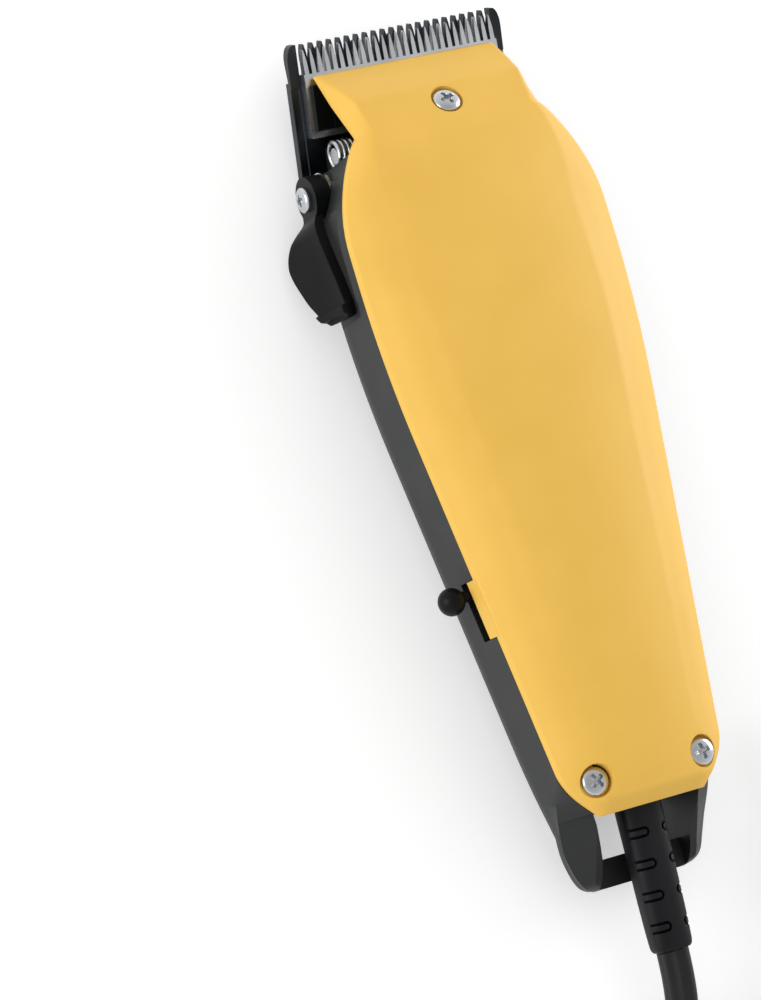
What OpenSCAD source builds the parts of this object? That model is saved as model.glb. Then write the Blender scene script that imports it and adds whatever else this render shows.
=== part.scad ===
// Mains hair clipper with a magnetic motor, a taper lever, a slide switch and a coiled cord.
// X runs across (+X is the clipper's right), Y runs forward to the blades, Z is up.
// The origin lies on the surface that the clipper rests on.

/* [Body] */
// Height of the parting line above the resting face
part_z = 21; // [19.5:0.5:24]
// Distance from the origin forward to the cover's front edge
front_len = 78.3; // [77.8:0.1:79]
// Distance from the origin back to the cover's rear edge
rear_len = 67; // [66:0.5:69]
// Width at the widest place
wide_w = 53.6; // [52:0.2:58]
// Width of the neck behind the blades
neck_w = 38.2; // [37:0.2:39.6]
// Width at the rear edge
tail_w = 32; // [31.4:0.2:34]
// Wall thickness of both shells
wall = 2; // [1.6:0.1:2.2]
// Rise of the crown above the parting line
crown_rise = 9.6; // [9:0.1:12]
// Radius of the housing's lower edges
keel_r = 11; // [8:0.5:12]
// Length of the hanging loop behind the cover
loop_len = 12.6; // [11:0.1:14]
// Width of an arm of the hanging loop
loop_arm_w = 4.7; // [4.5:0.1:5.4]

/* [Blades] */
// Width of the fixed blade
blade_w = 45.4; // [45:0.1:47.5]
// Length of the fixed blade, tips to heel
blade_len = 27.5; // [27:0.1:28]
// Thickness of the fixed blade
blade_t = 2; // [1.6:0.1:2.1]
// Tilt of the blades, tips up
blade_tilt = 20.5; // [20:0.1:21]
// Teeth of the fixed blade between its two ears
teeth = 21; // [17:2:21]
// Width of an ear beside the teeth
ear_w = 2.1; // [1.9:0.1:2.6]
// Length of a fixed tooth
tooth_len = 6; // [5:0.1:6.5]
// Teeth of the moving blade
cutter_teeth = 27; // [21:2:27]
// Width of the moving blade
cutter_w = 41; // [40.6:0.1:42]
// Thickness of the moving blade
cutter_t = 1.8; // [1.5:0.1:2]

/* [Controls] */
// Length of the taper lever from its pivot to its end
lever_len = 23.8; // [22:0.1:25.6]
// Height of the lever's thumb pad
pad_h = 9.6; // [8:0.1:10.2]
// How far the pad's lower edge flares outwards
pad_flare = 3.6; // [2:0.1:4.5]
// Throw of the taper eccentric
taper_throw = 1.6; // [1.2:0.1:1.8]
// Diameter of the switch knob
knob_d = 5.2; // [4.6:0.1:6]
// Travel of the switch
switch_travel = 7.4; // [5:0.1:7.6]

/* [Cord] */
// Width of the flat cord
cord_w = 6.4; // [6:0.1:6.6]
// Thickness of the flat cord
cord_t = 3.4; // [3:0.1:3.5]
// Width of the strain relief
relief_w = 8.6; // [8.2:0.1:9.2]
// Thickness of the strain relief
relief_t = 6.6; // [6:0.1:7]
// Length of the strain relief behind the rear wall
relief_len = 27.7; // [27.6:0.1:27.8]
// Radius of a plug pin
pin_r = 2; // [1.9:0.05:2.4]
// Free length of a plug pin
pin_len = 19; // [16:0.5:20]
// Spacing of the plug pins
pin_gap = 18.6; // [17.6:0.1:19.2]

/* [Hidden] */
$fn = 48;

yellow = "#E5B456";
dark = "#4A4D4C";
black = "#262829";
steel = "#8E9296";
shiny = "#C9CDD0";
brass_tone = "#C2A25A";
copper_tone = "#B4683A";
iron_tone = "#6E7377";

// Clearances: faces that stay still, faces that slide, and a shaft in its bore
seat_gap = 0.05;
slide_gap = 0.3;
bore_gap = 0.06;

// ---------- outline of both shells ----------
front_y = front_len;
rear_y = -rear_len;
wide_hw = wide_w / 2;
neck_hw = neck_w / 2;
tail_hw = tail_w / 2;
neck_y = 63.4;       // the shells narrow to the neck here
shoulder_l = 20.5;   // length over which they widen again
taper_y = 22;        // the long taper to the rear starts here
taper_blend = 15;    // and eases in over this length each way
taper_k = (wide_hw - tail_hw) / (taper_y - rear_y);
taper_angle = atan(taper_k);

function clamp01(v) = max(0, min(1, v));
function taper_in(y) =
    y > taper_y + taper_blend ? 0
    : y < taper_y - taper_blend ? taper_k * (taper_y - y)
    : taper_k * pow(taper_y + taper_blend - y, 2) / (4 * taper_blend);
function half_w(y) =
    neck_hw + (wide_hw - neck_hw) * pow(sin(90 * clamp01((neck_y - y) / shoulder_l)), 0.8)
    - taper_in(y);

// Rear corners of both shells are cut at a slant
corner_y = rear_y + 6;
corner_cut = 4.9;
corner_ease = 3.5;   // the cut eases in over this length each way
function corner_in(y) =
    y > corner_y + corner_ease ? 0
    : y < corner_y - corner_ease ? corner_y - y
    : pow(corner_y + corner_ease - y, 2) / (4 * corner_ease);
function cover_hw(y) = half_w(y) - corner_cut * corner_in(y) / (corner_y - rear_y);

// ---------- side profile of the cover, as rises above the parting line ----------
nose_l = front_y - neck_y;   // the nose hangs over the blades
rear_rise = 1.6;
function crown_z(y) = part_z + lookup(y, [
    [rear_y, rear_rise], [rear_y + 2.5, 4.4], [corner_y, 5.4], [-50, crown_rise - 2.6],
    [-30, crown_rise - 0.9], [0, crown_rise], [25, crown_rise - 0.2], [52, crown_rise - 2.4],
    [60, 5.8], [neck_y, 4.5], [front_y - nose_l * 0.53, 1.5], [front_y - nose_l * 0.24, -3.4],
    [front_y - nose_l * 0.09, -6.4], [front_y, -8.1]
]);
crown_drop = 2.2;    // the crease lies this far below the crown
function crease_z(y) = crown_z(y) - lookup(y, [
    [rear_y, 0.5], [corner_y, 1.5], [-40, crown_drop], [52, crown_drop], [neck_y, 1], [front_y, 0.1]
]);
function crease_x(y) = cover_hw(y) - lookup(y, [
    [rear_y, 1.6], [corner_y, 5.2], [-50, 6.8], [0, 9], [45, 8.8], [neck_y, 2.4], [front_y, 0.8]
]);
// Lower edge of the cover: level with the parting line, then down along the nose
function edge_z(y) = part_z + lookup(y, [
    [neck_y, 0], [front_y - nose_l * 0.44, -5.6], [front_y, -9.1]
]);
lip_h = 1.3;
cover_ys = [
    rear_y, rear_y + 2.5, corner_y - 1.7, corner_y, corner_y + 1.7, corner_y + corner_ease, -50, -30, -10,
    8, 20, 30, 40, 47, 52, 56, 60, neck_y,
    front_y - nose_l * 0.7, front_y - nose_l * 0.44, front_y - nose_l * 0.24,
    front_y - nose_l * 0.09, front_y
];

// Right half of a cross-section, from the lower edge to the crown; inset thins it for the cavity
function cover_half(y, inset) =
    let (
        a = cover_hw(y) - inset,
        c = crease_x(y) - inset * 0.6,
        top = crown_z(y) - inset,
        shoulder = crease_z(y) - inset,
        low = inset > 0 ? min(edge_z(y), top) - 12 : edge_z(y),
        lip = min(edge_z(y) + lip_h, edge_z(y) + (shoulder - edge_z(y)) * 0.4)
    )
    [
        [a, low], [a, inset > 0 ? min(lip, shoulder - 0.3) : lip],
        [(a + c) / 2 + (a - c) * 0.06, (lip + shoulder) / 2 + (inset > 0 ? 0 : (shoulder - lip) * 0.08)],
        [c, shoulder], [c * 0.6, shoulder + (top - shoulder) * 0.64], [0, top]
    ];
function mirrored(half) = [
    for (p = half) p,
    for (i = [len(half) - 2:-1:0]) [-half[i].x, half[i].y]
];
function ring3(pts, y) = [for (p = pts) [p.x, y, p.y]];

// Skin over a row of closed rings with the same number of points
module skin(rings) {
    n = len(rings[0]);
    m = len(rings);
    polyhedron(
        points = [for (r = rings) each r],
        faces = [
            [for (i = [n - 1:-1:0]) i],
            [for (i = [0:n - 1]) (m - 1) * n + i],
            for (k = [0:m - 2], i = [0:n - 1])
                let (a = k * n + i, b = k * n + (i + 1) % n)
                each [[a, b, b + n], [a, b + n, a + n]]
        ]
    );
}

module cover_outside() {
    skin([for (y = cover_ys) ring3(mirrored(cover_half(y, 0)), y)]);
}
module cover_inside() {
    ys = concat([rear_y + wall], [for (y = cover_ys) if (y > rear_y + wall) y]);
    skin([for (y = ys) ring3(mirrored(cover_half(y, wall)), y)]);
}

// ---------- cross-sections of the housing ----------
draft = 3;
tub_front_y = 61;
tub_rear_y = rear_y + 1;
keel_rise_y = -50;
rear_keel = 1.4;
rear_bevel = 6;      // the housing's upper edge falls by this towards the loop
function keel_z(y) = rear_keel * pow(clamp01((keel_rise_y - y) / (keel_rise_y - tub_rear_y)), 2);
function tub_half(y, inset) =
    let (
        rim = min(half_w(y), cover_hw(y) + 0.2),
        a = inset > 0 ? rim - inset : half_w(y),
        r = keel_r - inset,
        z0 = keel_z(y) + inset,
        b = a - (part_z - keel_r) * tan(draft),
        bevel = rear_bevel * clamp01((corner_y + corner_ease - y) / (corner_y + corner_ease - tub_rear_y))
    )
    [
        [inset > 0 ? a : rim, inset > 0 ? part_z + 6 : part_z],
        [a, part_z - 0.6 - bevel],
        for (t = [0:22.5:90]) [b - r + r * cos(t), z0 + r - r * sin(t)],
        [0, z0]
    ];
tub_ys = [
    tub_front_y, 57, 52, 47, 42, 36, 22, 7, -20, keel_rise_y, corner_y + corner_ease, corner_y,
    corner_y - 2.5, tub_rear_y
];
module tub_outside() {
    skin([for (y = tub_ys) ring3(mirrored(tub_half(y, 0)), y)]);
}
module tub_inside() {
    ys = [for (y = tub_ys) y == tub_front_y ? y + 1 : y == tub_rear_y ? y + wall : y];
    skin([for (y = ys) ring3(mirrored(tub_half(y, wall)), y)]);
}

// ---------- frames ----------
tip_y = 85;
tip_z = part_z - 9.1;
// Blade frame: Z is normal to the blades, -Y runs from the tips to the heel
module in_blades() {
    translate([0, tip_y, tip_z])
        rotate([blade_tilt, 0, 0])
            children();
}
function blade_point(y, z) = [
    0,
    tip_y + y * cos(blade_tilt) - z * sin(blade_tilt),
    tip_z + y * sin(blade_tilt) + z * cos(blade_tilt)
];
// Front screw frame: Z is normal to the nose
front_screw_y = 67;
front_screw_tilt = 29;
module in_front_screw() {
    translate([0, front_screw_y, crown_z(front_screw_y)])
        rotate([-front_screw_tilt, 0, 0])
            children();
}
// Switch frame: X is inward from the left wall, Y runs along it
switch_y = -25.4;
module in_switch() {
    translate([-half_w(switch_y), switch_y, part_z])
        rotate([0, 0, taper_angle])
            children();
}
// Strain relief frame: -Y runs along the relief
relief_tilt = 6.7;
relief_z = part_z - 5.5;
relief_in = wall + 2.8;   // the relief starts this far inside the rear wall
module in_relief() {
    translate([0, tub_rear_y, relief_z])
        rotate([relief_tilt, 0, 0])
            children();
}

module along_x(r, x0, x1) {
    translate([x0, 0, 0])
        rotate([0, 90, 0])
            cylinder(r = r, h = x1 - x0);
}
module stadium(w, t) {
    square([w - t, t], center = true);
    for (s = [-1, 1])
        translate([s * (w - t) / 2, 0])
            circle(d = t);
}
module back_along_y(len) {
    rotate([90, 0, 0])
        linear_extrude(len)
            children();
}
module block(x, y, z) {
    translate([x[0], y[0], z[0]])
        cube([x[1] - x[0], y[1] - y[0], z[1] - z[0]]);
}

// ---------- screws ----------
head_r = 2.65;
head_h = 1.6;
shank_r = 1.45;
recess_r = 3.05;
module pan_screw(len) {
    difference() {
        union() {
            cylinder(r = shank_r, h = len + 0.01);
            translate([0, 0, len])
                cylinder(r = head_r, h = head_h * 0.55);
            translate([0, 0, len + head_h * 0.55])
                cylinder(r1 = head_r, r2 = head_r - 0.9, h = head_h * 0.45);
        }
        for (a = [0, 90])
            rotate([0, 0, a])
                translate([-1.5, -0.35, len + head_h - 0.9])
                    cube([3, 0.7, 2]);
    }
}
rear_screw_x = 11.2;
rear_screw_y = rear_y + 6.3;
rear_seat_z = part_z + 2.2;
rear_screw_len = 11.2;
front_screw_len = 7.8;
front_seat = -1.3;
front_joint = -3.7;

// ---------- switch ----------
slot_half = 5.6;
knob_out = 3.6;      // the ball's centre lies this far out from the wall
slot_top = -2.75;
slot_bottom = -5.85;
knob_rest_y = switch_travel / 2 - 0.3;
knob_z = (slot_top + slot_bottom) / 2;
neck_r = 1.1;
slider_half = 2.4;   // the slider behind the knob reaches so far up and down

// ---------- taper lever ----------
pivot_y = 56.6;
pivot_z = 9.5;
lever_in_x = -24.5;
lever_t = 1.9;
shaft_r = 2.5;
hub_r = 4.2;
lever_head_r = 2.4;
boss_face_x = -22.4;
swing_face_x = -25.2;  // the housing is cut back to here beside the lever
cam_x = -17;
cam_end_x = -12.6;
cam_r = 1.5;
slider_x = [-14.8, -12.8];

// ---------- tension spring ----------
rod_r = 1.5;
rod_at = [0, -20.57, 7.8];   // in the blade frame
rod_hw = 19.5;
spring_r = 2.6;
spring_wire = 0.5;
spring_x = 15.4;      // inner end of each coil
press_y = -11.6;      // where the spring presses on the guide
spring_room = spring_r + spring_wire + slide_gap;

// ---------- motor ----------
core_x = [4.3, 21.3];
core_y = [4, 40];
core_z = [9, 19];
outer_leg = 4.5;
mid_leg = 7;
yoke = 4.3;
mid_y = (core_y[0] + core_y[1]) / 2;
arm_x = [-5.5, -1.5];
arm_z = [10, 18];
arm_rear_y = -41.5;
arm_front_y = 50;
leaf_t = 0.4;
cord_clamp_hw = 7.4;
cord_clamp_y = [-59.5, -56.5];
cord_clamp_screw_x = 5.6;
cord_clamp_screw_y = (cord_clamp_y[0] + cord_clamp_y[1]) / 2;
clamp_y = [-54, -46];
clamp_screw_z = [11.5, 16.5];
rivet_yz = [[-39, 12], [-36, 16]];
leaf_z = [9.4, 18.6];
core_screw_z = 5;
clamp_x1 = 4;
arm_spring_y = 47.5;
arm_spring_z = 13;
arm_spring_r = 2;
post_x = -20;
seat_x = 13;
core_post_xy = [[19.1, core_y[0] + 3.4], [19.1, core_y[1] - 3.4]];

// ---------- guide and drive finger, in the blade frame ----------
guide_y = [-16, -8.5];
guide_hw = 8;
guide_top = 4.9;
guide_wing_hw = cutter_w / 2 - 0.8;
guide_wing_front = -7.7;
guide_wing_t = 1.2;
finger_y = -13.6;
finger_r = 2;
seat_bar_y = [-27.2, -20];
seat_bar_h = 4;
tooth_w = 1.15;
cutter_tooth_w = 0.9;
tooth_pitch = (blade_w - 2 * ear_w + 0.6) / (teeth + 1);
cutter_pitch = (cutter_w - cutter_tooth_w - 0.58) / (cutter_teeth - 1);
blade_screw_x = 9;
blade_screw_y = -22.4;

// ---------- cord ----------
// Hand-chosen route of the free cord, from the relief to the coil and from the coil to the plug
run_route = [
    [0, -93.75, 12.2], [0, -97, 11.7], [-0.1, -101, 10.9], [-0.5, -106, 9.5], [-1.4, -111, 7.6],
    [-2.6, -116, 5.7], [-4.3, -121, 4.1], [-6.5, -126, 3], [-8.6, -130, 2.65], [-10.7, -133.6, 2.6]
];
tail_route = [
    [58.3, -146.4, 12.8], [57.2, -141, 11.9], [56.6, -136, 10.7], [56.2, -131, 9.4],
    [56.05, -126, 8.2], [56, -121, 7.2], [56, -116.2, 6.8]
];
coil_at = [21, -155];
coil_turn_r = [30.2, 36.8];
coil_z = 0.9;
coil_layers = 4;
plug_y = -104;       // rear face of the plug's body
plug_len = 30;
plug_w = 26;
plug_t = 13.6;
plug_relief_len = 12;

function unit(v) = v / norm(v);
// Flat section of the cord, level across, square to the route
function flat_ring(pts, i) =
    let (
        last = len(pts) - 1,
        dir = unit(pts[min(i + 1, last)] - pts[max(i - 1, 0)]),
        side = unit([dir.y, -dir.x, 0]),
        up = cross(side, dir),
        w = (cord_w - cord_t) / 2,
        r = cord_t / 2
    )
    [
        for (a = [-90:45:90]) pts[i] + side * (w + r * cos(a)) + up * (r * sin(a)),
        for (a = [90:45:270]) pts[i] + side * (-w + r * cos(a)) + up * (r * sin(a))
    ];
module cord_piece(pts) {
    skin([for (i = [0:len(pts) - 1]) flat_ring(pts, i)]);
}

// Round bar between two points
module rod_between(a, b, r) {
    d = b - a;
    translate(a)
        rotate([0, acos(d.z / norm(d)), atan2(d.y, d.x)])
            cylinder(r = r, h = norm(d));
}
// Round wire along a list of points, its rings carried on without a twist
function heading(pts, i) = unit(pts[min(i + 1, len(pts) - 1)] - pts[max(i - 1, 0)]);
function squared(n, d) = unit(n - d * (n * d));
module wire(pts, r, sides = 6) {
    last = len(pts) - 1;
    normals = [
        for (i = 0, n = squared([0.3, 0.5, 0.8], heading(pts, 0)); i <= last;
             i = i + 1, n = squared(n, heading(pts, min(i, last)))) n
    ];
    skin([
        for (i = [0:last])
            let (n = normals[i], b = cross(n, heading(pts, i)))
            [for (a = [0:360 / sides:359]) pts[i] + r * (n * cos(a) + b * sin(a))]
    ]);
}
// Centre line of a coil spring around X, which ends at the top of its last turn
function coil_line(x0, x1, turns, r, steps = 10) = [
    for (k = [0:turns * steps])
        [x0 + (x1 - x0) * k / (turns * steps), r * cos(90 - 360 * k / steps), r * sin(90 - 360 * k / steps)]
];
function moved(pts, v) = [for (p = pts) p + v];
function flipped_x(pts) = [for (i = [len(pts) - 1:-1:0]) [-pts[i].x, pts[i].y, pts[i].z]];

// ================= shells =================
module top_cover() {
    color(yellow)
        difference() {
            union() {
                difference() {
                    cover_outside();
                    cover_inside();
                }
                intersection() {
                    cover_outside();
                    union() {
                        for (s = [-1, 1])
                            translate([s * rear_screw_x, rear_screw_y, part_z])
                                cylinder(r = 3.4, h = 12);
                        in_front_screw()
                            translate([0, 0, front_joint + seat_gap])
                                cylinder(r = 3.6, h = 4);
                    }
                }
                in_switch()
                    block([-0.05, wall - 0.3], [-slot_half + 0.1, slot_half - 0.1], [slot_top, 1.05]);
            }
            for (s = [-1, 1])
                translate([s * rear_screw_x, rear_screw_y, 0]) {
                    cylinder(r = shank_r + 0.1, h = 40);
                    translate([0, 0, rear_seat_z])
                        cylinder(r = recess_r, h = 20);
                }
            in_front_screw() {
                translate([0, 0, -6])
                    cylinder(r = shank_r + 0.1, h = 20);
                translate([0, 0, front_seat])
                    cylinder(r = recess_r, h = 20);
            }
        }
}

// The hanging loop carries the tub's form on to the rear; its top slopes down outwards
loop_rear_y = rear_y - loop_len;
loop_bar = 5.2;
loop_bar_top = 9.4;
function loop_half(y) =
    let (
        t = (tub_rear_y - y) / (tub_rear_y - loop_rear_y),
        out = half_w(y) - lookup(t, [
            [-0.05, 0.3], [0, 0.02], [0.35, 0.3], [0.65, 1], [0.86, 1.9], [0.96, 3.2], [1, 5]
        ]),
        top = part_z - lookup(t, [[0, 1], [0.35, 4], [0.65, 7], [0.86, 9], [0.96, 10.6], [1, 11.6]]),
        low = keel_z(tub_rear_y) + lookup(t, [[0, 0], [0.4, 1.3], [0.86, 3], [1, 4]]),
        side = top - lookup(t, [[0, rear_bevel - 0.4], [0.35, 5.4], [0.65, 3.8], [1, 1]]),
        r = min(keel_r, side - low - 0.4) * lookup(t, [[0, 1], [0.35, 0.94], [0.65, 0.8], [1, 0.5]])
    )
    [
        [min(10.8, out - 1.5), top],
        [out, side],
        for (a = [0:30:90]) [out - 0.5 - r + r * cos(a), low + r - r * sin(a)],
        [0, low]
    ];
module loop_body() {
    window_hw = half_w(rear_y) - loop_arm_w;
    narrow = 1.9;   // the window narrows by this on each side to the rear
    difference() {
        skin([
            for (t = [-0.05, 0, 0.17, 0.35, 0.65, 0.86, 0.96, 1])
                let (y = tub_rear_y - t * (tub_rear_y - loop_rear_y))
                ring3(mirrored(loop_half(y)), y)
        ]);
        linear_extrude(part_z)
            polygon([
                [-window_hw, tub_rear_y - 0.01], [-window_hw + narrow, loop_rear_y + loop_bar],
                [window_hw - narrow, loop_rear_y + loop_bar], [window_hw, tub_rear_y - 0.01]
            ]);
        block([-window_hw + narrow, window_hw - narrow], [loop_rear_y - 1, tub_rear_y - 1],
              [loop_bar_top, part_z]);
    }
}

module bottom_housing() {
    color(dark)
        difference() {
            union() {
                difference() {
                    tub_outside();
                    tub_inside();
                }
                loop_body();
                intersection() {
                    tub_outside();
                    union() {
                        // floor posts and walls that carry the pieces inside
                        for (s = [-1, 1])
                            translate([s * rear_screw_x, rear_screw_y, 0])
                                cylinder(r = 3.4, h = part_z);
                        for (p = core_post_xy)
                            translate([p.x, p.y, 0])
                                cylinder(r = 3, h = core_z[0]);
                        block([arm_x[0], clamp_x1], clamp_y, [0, 20]);
                        block([-cord_clamp_hw, cord_clamp_hw], cord_clamp_y, [0, 14]);
                        block([-30, post_x], [arm_spring_y - 3.5, arm_spring_y + 3.5], [0, 17]);
                        in_switch()
                            block([5.4, 10.8], [-9, 9], [-25, -11]);
                        translate([0, arm_spring_y, arm_spring_z])
                            along_x(4, 19.5, 30);
                        translate([0, pivot_y, pivot_z])
                            along_x(hub_r, -30, cam_x - 2.6);
                        block([-30, 30], [56.5, tub_front_y], [part_z - 5.2, part_z - 1.4]);
                    }
                }
                // bridge over the drive finger, with the front screw's boss
                block([-11, 11], [56.5, 65.6], [part_z - 5.2, part_z - 1.4]);
                in_front_screw()
                    translate([0, 0, -9.6])
                        cylinder(r = 3.2, h = 9.6 + front_joint);
                // lugs that hold the spring rod
                for (s = [-1, 1])
                    in_blades()
                        translate([s * 9.3, 0, 0])
                            block([-1.3, 1.3], [-24.6, -18], [5, 13]);
                // seat that the fixed blade is screwed to
                in_blades()
                    block([-17.4, 17.4], seat_bar_y, [0, seat_bar_h]);
                intersection() {
                    tub_outside();
                    in_blades()
                        block([-30, 30], [-29.4, -24.6], [0, seat_bar_h]);
                }
            }
            // space for the fixed blade below its seat
            in_blades()
                block([-40, 40], [-blade_len - slide_gap, 40], [-20, 0]);
            // notch that the drive finger passes through
            in_blades()
                block([-3.6, 3.6], [-31, 0], [0.6, 5.4]);
            // slots that the spring rod slides in
            for (s = [-1, 1])
                in_blades()
                    translate([s * 9.3, rod_at.y, rod_at.z])
                        block([-2, 2], [-rod_r - bore_gap - taper_throw - 0.2, rod_r + bore_gap],
                              [-rod_r - bore_gap, rod_r + bore_gap]);
            // pockets for the coils of the tension spring
            for (s = [0, 1])
                mirror([s, 0, 0])
                    in_blades()
                        translate(rod_at)
                            block([spring_x - 0.9, rod_hw + 0.9], [-spring_room - taper_throw, 20],
                                  [-spring_room, spring_room]);
            // flat that the lever swings beside, and the lever's bearing
            block([-40, swing_face_x], [pivot_y - lever_len - 1, pivot_y + 8], [-5, part_z - 3]);
            translate([0, pivot_y, pivot_z]) {
                along_x(hub_r + 0.6, -40, boss_face_x);
                along_x(shaft_r + bore_gap, -40, 0);
            }
            // slot and notch for the switch
            in_switch()
                block([-3, 5.3], [-slot_half, slot_half], [slot_bottom, 5]);
            // power screw and its nut
            translate([0, arm_spring_y, arm_spring_z]) {
                along_x(head_r + 0.2, 24.9, 40);
                along_x(shank_r + 0.15, 18, 40);
                along_x(2.5, 18, 24);
            }
            // screw holes
            for (s = [-1, 1]) {
                translate([s * rear_screw_x, rear_screw_y, 9])
                    cylinder(r = shank_r + seat_gap, h = 20);
                in_blades()
                    translate([s * blade_screw_x, blade_screw_y, -1])
                        cylinder(r = shank_r + seat_gap, h = 8);
                translate([s * cord_clamp_screw_x, cord_clamp_screw_y, 6])
                    cylinder(r = 1.05, h = 20);
            }
            for (p = core_post_xy)
                translate([p.x, p.y, 3])
                    cylinder(r = shank_r + seat_gap, h = 20);
            in_front_screw()
                translate([0, 0, -12])
                    cylinder(r = shank_r + seat_gap, h = 20);
            for (z = clamp_screw_z)
                translate([0, (clamp_y[0] + clamp_y[1]) / 2, z])
                    along_x(1.05, -20, 2);
            // strain relief
            in_relief()
                translate([0, 10, 0])
                    back_along_y(40)
                        stadium(relief_w + 0.2, relief_t + 0.2);
        }
}

module front_cover_screw() {
    color(shiny)
        in_front_screw()
            translate([0, 0, front_seat - front_screw_len])
                pan_screw(front_screw_len);
}
module rear_cover_screws() {
    color(shiny)
        for (s = [-1, 1])
            translate([s * rear_screw_x, rear_screw_y, rear_seat_z - rear_screw_len])
                pan_screw(rear_screw_len);
}

// ================= blades =================
function tooth(x, root, tip, base_w, tip_w) = [
    [x - base_w / 2, root], [x - base_w * 0.42, tip - 2.2], [x - tip_w / 2, tip - 0.4],
    [x, tip], [x + tip_w / 2, tip - 0.4], [x + base_w * 0.42, tip - 2.2], [x + base_w / 2, root]
];
module fixed_blade() {
    half = blade_w / 2;
    inner = half - ear_w;
    outline = [
        [half, -blade_len], [half, -3.4], [half - 0.3, -1.5], [half - 0.8, -0.5], [half - 1.5, 0],
        [inner, 0], [inner, -tooth_len],
        for (i = [(teeth - 1) / 2:-1:-(teeth - 1) / 2])
            each [for (k = [6:-1:0]) tooth(i * tooth_pitch, -tooth_len, -0.1, tooth_w, 0.3)[k]],
        [-inner, -tooth_len], [-inner, 0],
        [-half + 1.5, 0], [-half + 0.8, -0.5], [-half + 0.3, -1.5], [-half, -3.4], [-half, -blade_len]
    ];
    color(iron_tone)
        in_blades()
            difference() {
                translate([0, 0, -blade_t])
                    linear_extrude(blade_t)
                        polygon(outline);
                // underside ground thin towards the tips
                translate([0, 0, -blade_t])
                    rotate([-9, 0, 0])
                        translate([-30, -tooth_len - 1, -6.1])
                            cube([60, 12, 6]);
                // ledges beside the moving blade
                for (s = [-1, 1])
                    translate([s * (half - 0.2) - 1.4, -blade_len - 1, -0.25])
                        cube([2.8, blade_len - 8.2, 1]);
                for (s = [-1, 1])
                    translate([s * blade_screw_x, blade_screw_y, -5])
                        cylinder(r = shank_r + 0.15, h = 10);
            }
}
module blade_screws() {
    color(shiny)
        in_blades()
            for (s = [-1, 1])
                translate([s * blade_screw_x, blade_screw_y, 3.2])
                    mirror([0, 0, 1])
                        pan_screw(3.2 + blade_t + seat_gap);
}
module moving_blade() {
    half = cutter_w / 2;
    tip = -1;
    root = -5.6;
    outline = [
        [half, -17.5], [half, root],
        for (i = [(cutter_teeth - 1) / 2:-1:-(cutter_teeth - 1) / 2])
            each [for (k = [6:-1:0]) tooth(i * cutter_pitch, root, tip, cutter_tooth_w, 0.3)[k]],
        [-half, root], [-half, -17.5]
    ];
    color(steel)
        in_blades()
            difference() {
                translate([0, 0, 0.03])
                    union() {
                        linear_extrude(cutter_t)
                            polygon(outline);
                        block([-half, half], [-17.5, -16.4], [cutter_t - 0.1, cutter_t + 0.25]);
                    }
                // top ground thin towards the tips
                translate([-30, root - 1.4, cutter_t + 0.03])
                    rotate([-9, 0, 0])
                        cube([60, 12, 6]);
            }
}
module blade_drive_guide() {
    seat = cutter_t + 0.03 + seat_gap;
    color(black)
        in_blades()
            difference() {
                union() {
                    block([-guide_hw, guide_hw], guide_y, [seat, guide_top]);
                    // wings over the moving blade, with a rib along each
                    block([-guide_wing_hw, guide_wing_hw], [guide_y[0], guide_wing_front],
                          [seat, seat + guide_wing_t]);
                    for (x = [-0.62, -0.8, 0.62, 0.8])
                        translate([x * guide_wing_hw, 0, 0])
                            block([-0.5, 0.5], [guide_y[0], guide_y[1] - 1], [seat, seat + guide_wing_t + 0.5]);
                }
                block([-finger_r - bore_gap, finger_r + bore_gap],
                      [guide_y[0] - 1, finger_y + finger_r + taper_throw + 0.4], [0, 10]);
            }
}
module tension_spring() {
    wire_z = guide_top + spring_wire + slide_gap;
    left = concat(
        moved(coil_line(-spring_x - 4.2, -spring_x, 4, spring_r), rod_at),
        [
            rod_at + [-spring_x + 0.8, 2.6, spring_r - 0.7], [-7.6, press_y - 1.4, wire_z + 0.5],
            [-6, press_y, wire_z]
        ]
    );
    color(shiny)
        in_blades()
            wire(concat(left, flipped_x(left)), spring_wire);
}
module spring_rod() {
    color(steel)
        in_blades()
            translate(rod_at)
                along_x(rod_r, -rod_hw, rod_hw);
}
module taper_slider() {
    rod_point = blade_point(rod_at.y, rod_at.z);
    color(black)
        difference() {
            translate([slider_x[0], 0, 0])
                rotate([90, 0, 90])
                    linear_extrude(slider_x[1] - slider_x[0])
                        polygon([
                            [pivot_y - 3, 7.6], [pivot_y + 2.6, 7.6], [rod_point.y - 2.6, rod_point.z - 2.4],
                            [rod_point.y + 1.2, rod_point.z - 2.4], [rod_point.y + 2, rod_point.z - 1.2],
                            [rod_point.y + 2, rod_point.z + 0.9], [rod_point.y + 0.9, rod_point.z + 2],
                            [rod_point.y - 2.6, rod_point.z + 2.4], [pivot_y + 3.4, 13.6], [pivot_y - 3, 13.6]
                        ]);
            translate([0, rod_point.y, rod_point.z])
                along_x(rod_r + 0.02, -30, 0);
            translate([0, pivot_y, pivot_z + taper_throw])
                block([-30, 0], [-cam_r - slide_gap, cam_r + slide_gap], [-cam_r - 0.8, cam_r + slide_gap]);
        }
}

// ================= taper lever =================
module taper_cam() {
    color(black)
        translate([0, pivot_y, pivot_z])
            difference() {
                union() {
                    along_x(shaft_r, lever_in_x + 0.9, cam_x - 2.8);
                    along_x(shaft_r - 0.6, cam_x - 3, cam_x);
                    translate([0, 0, taper_throw])
                        along_x(cam_r, cam_x - 0.5, cam_end_x);
                }
                along_x(1.25, lever_in_x, lever_in_x + 6);
            }
}
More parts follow.
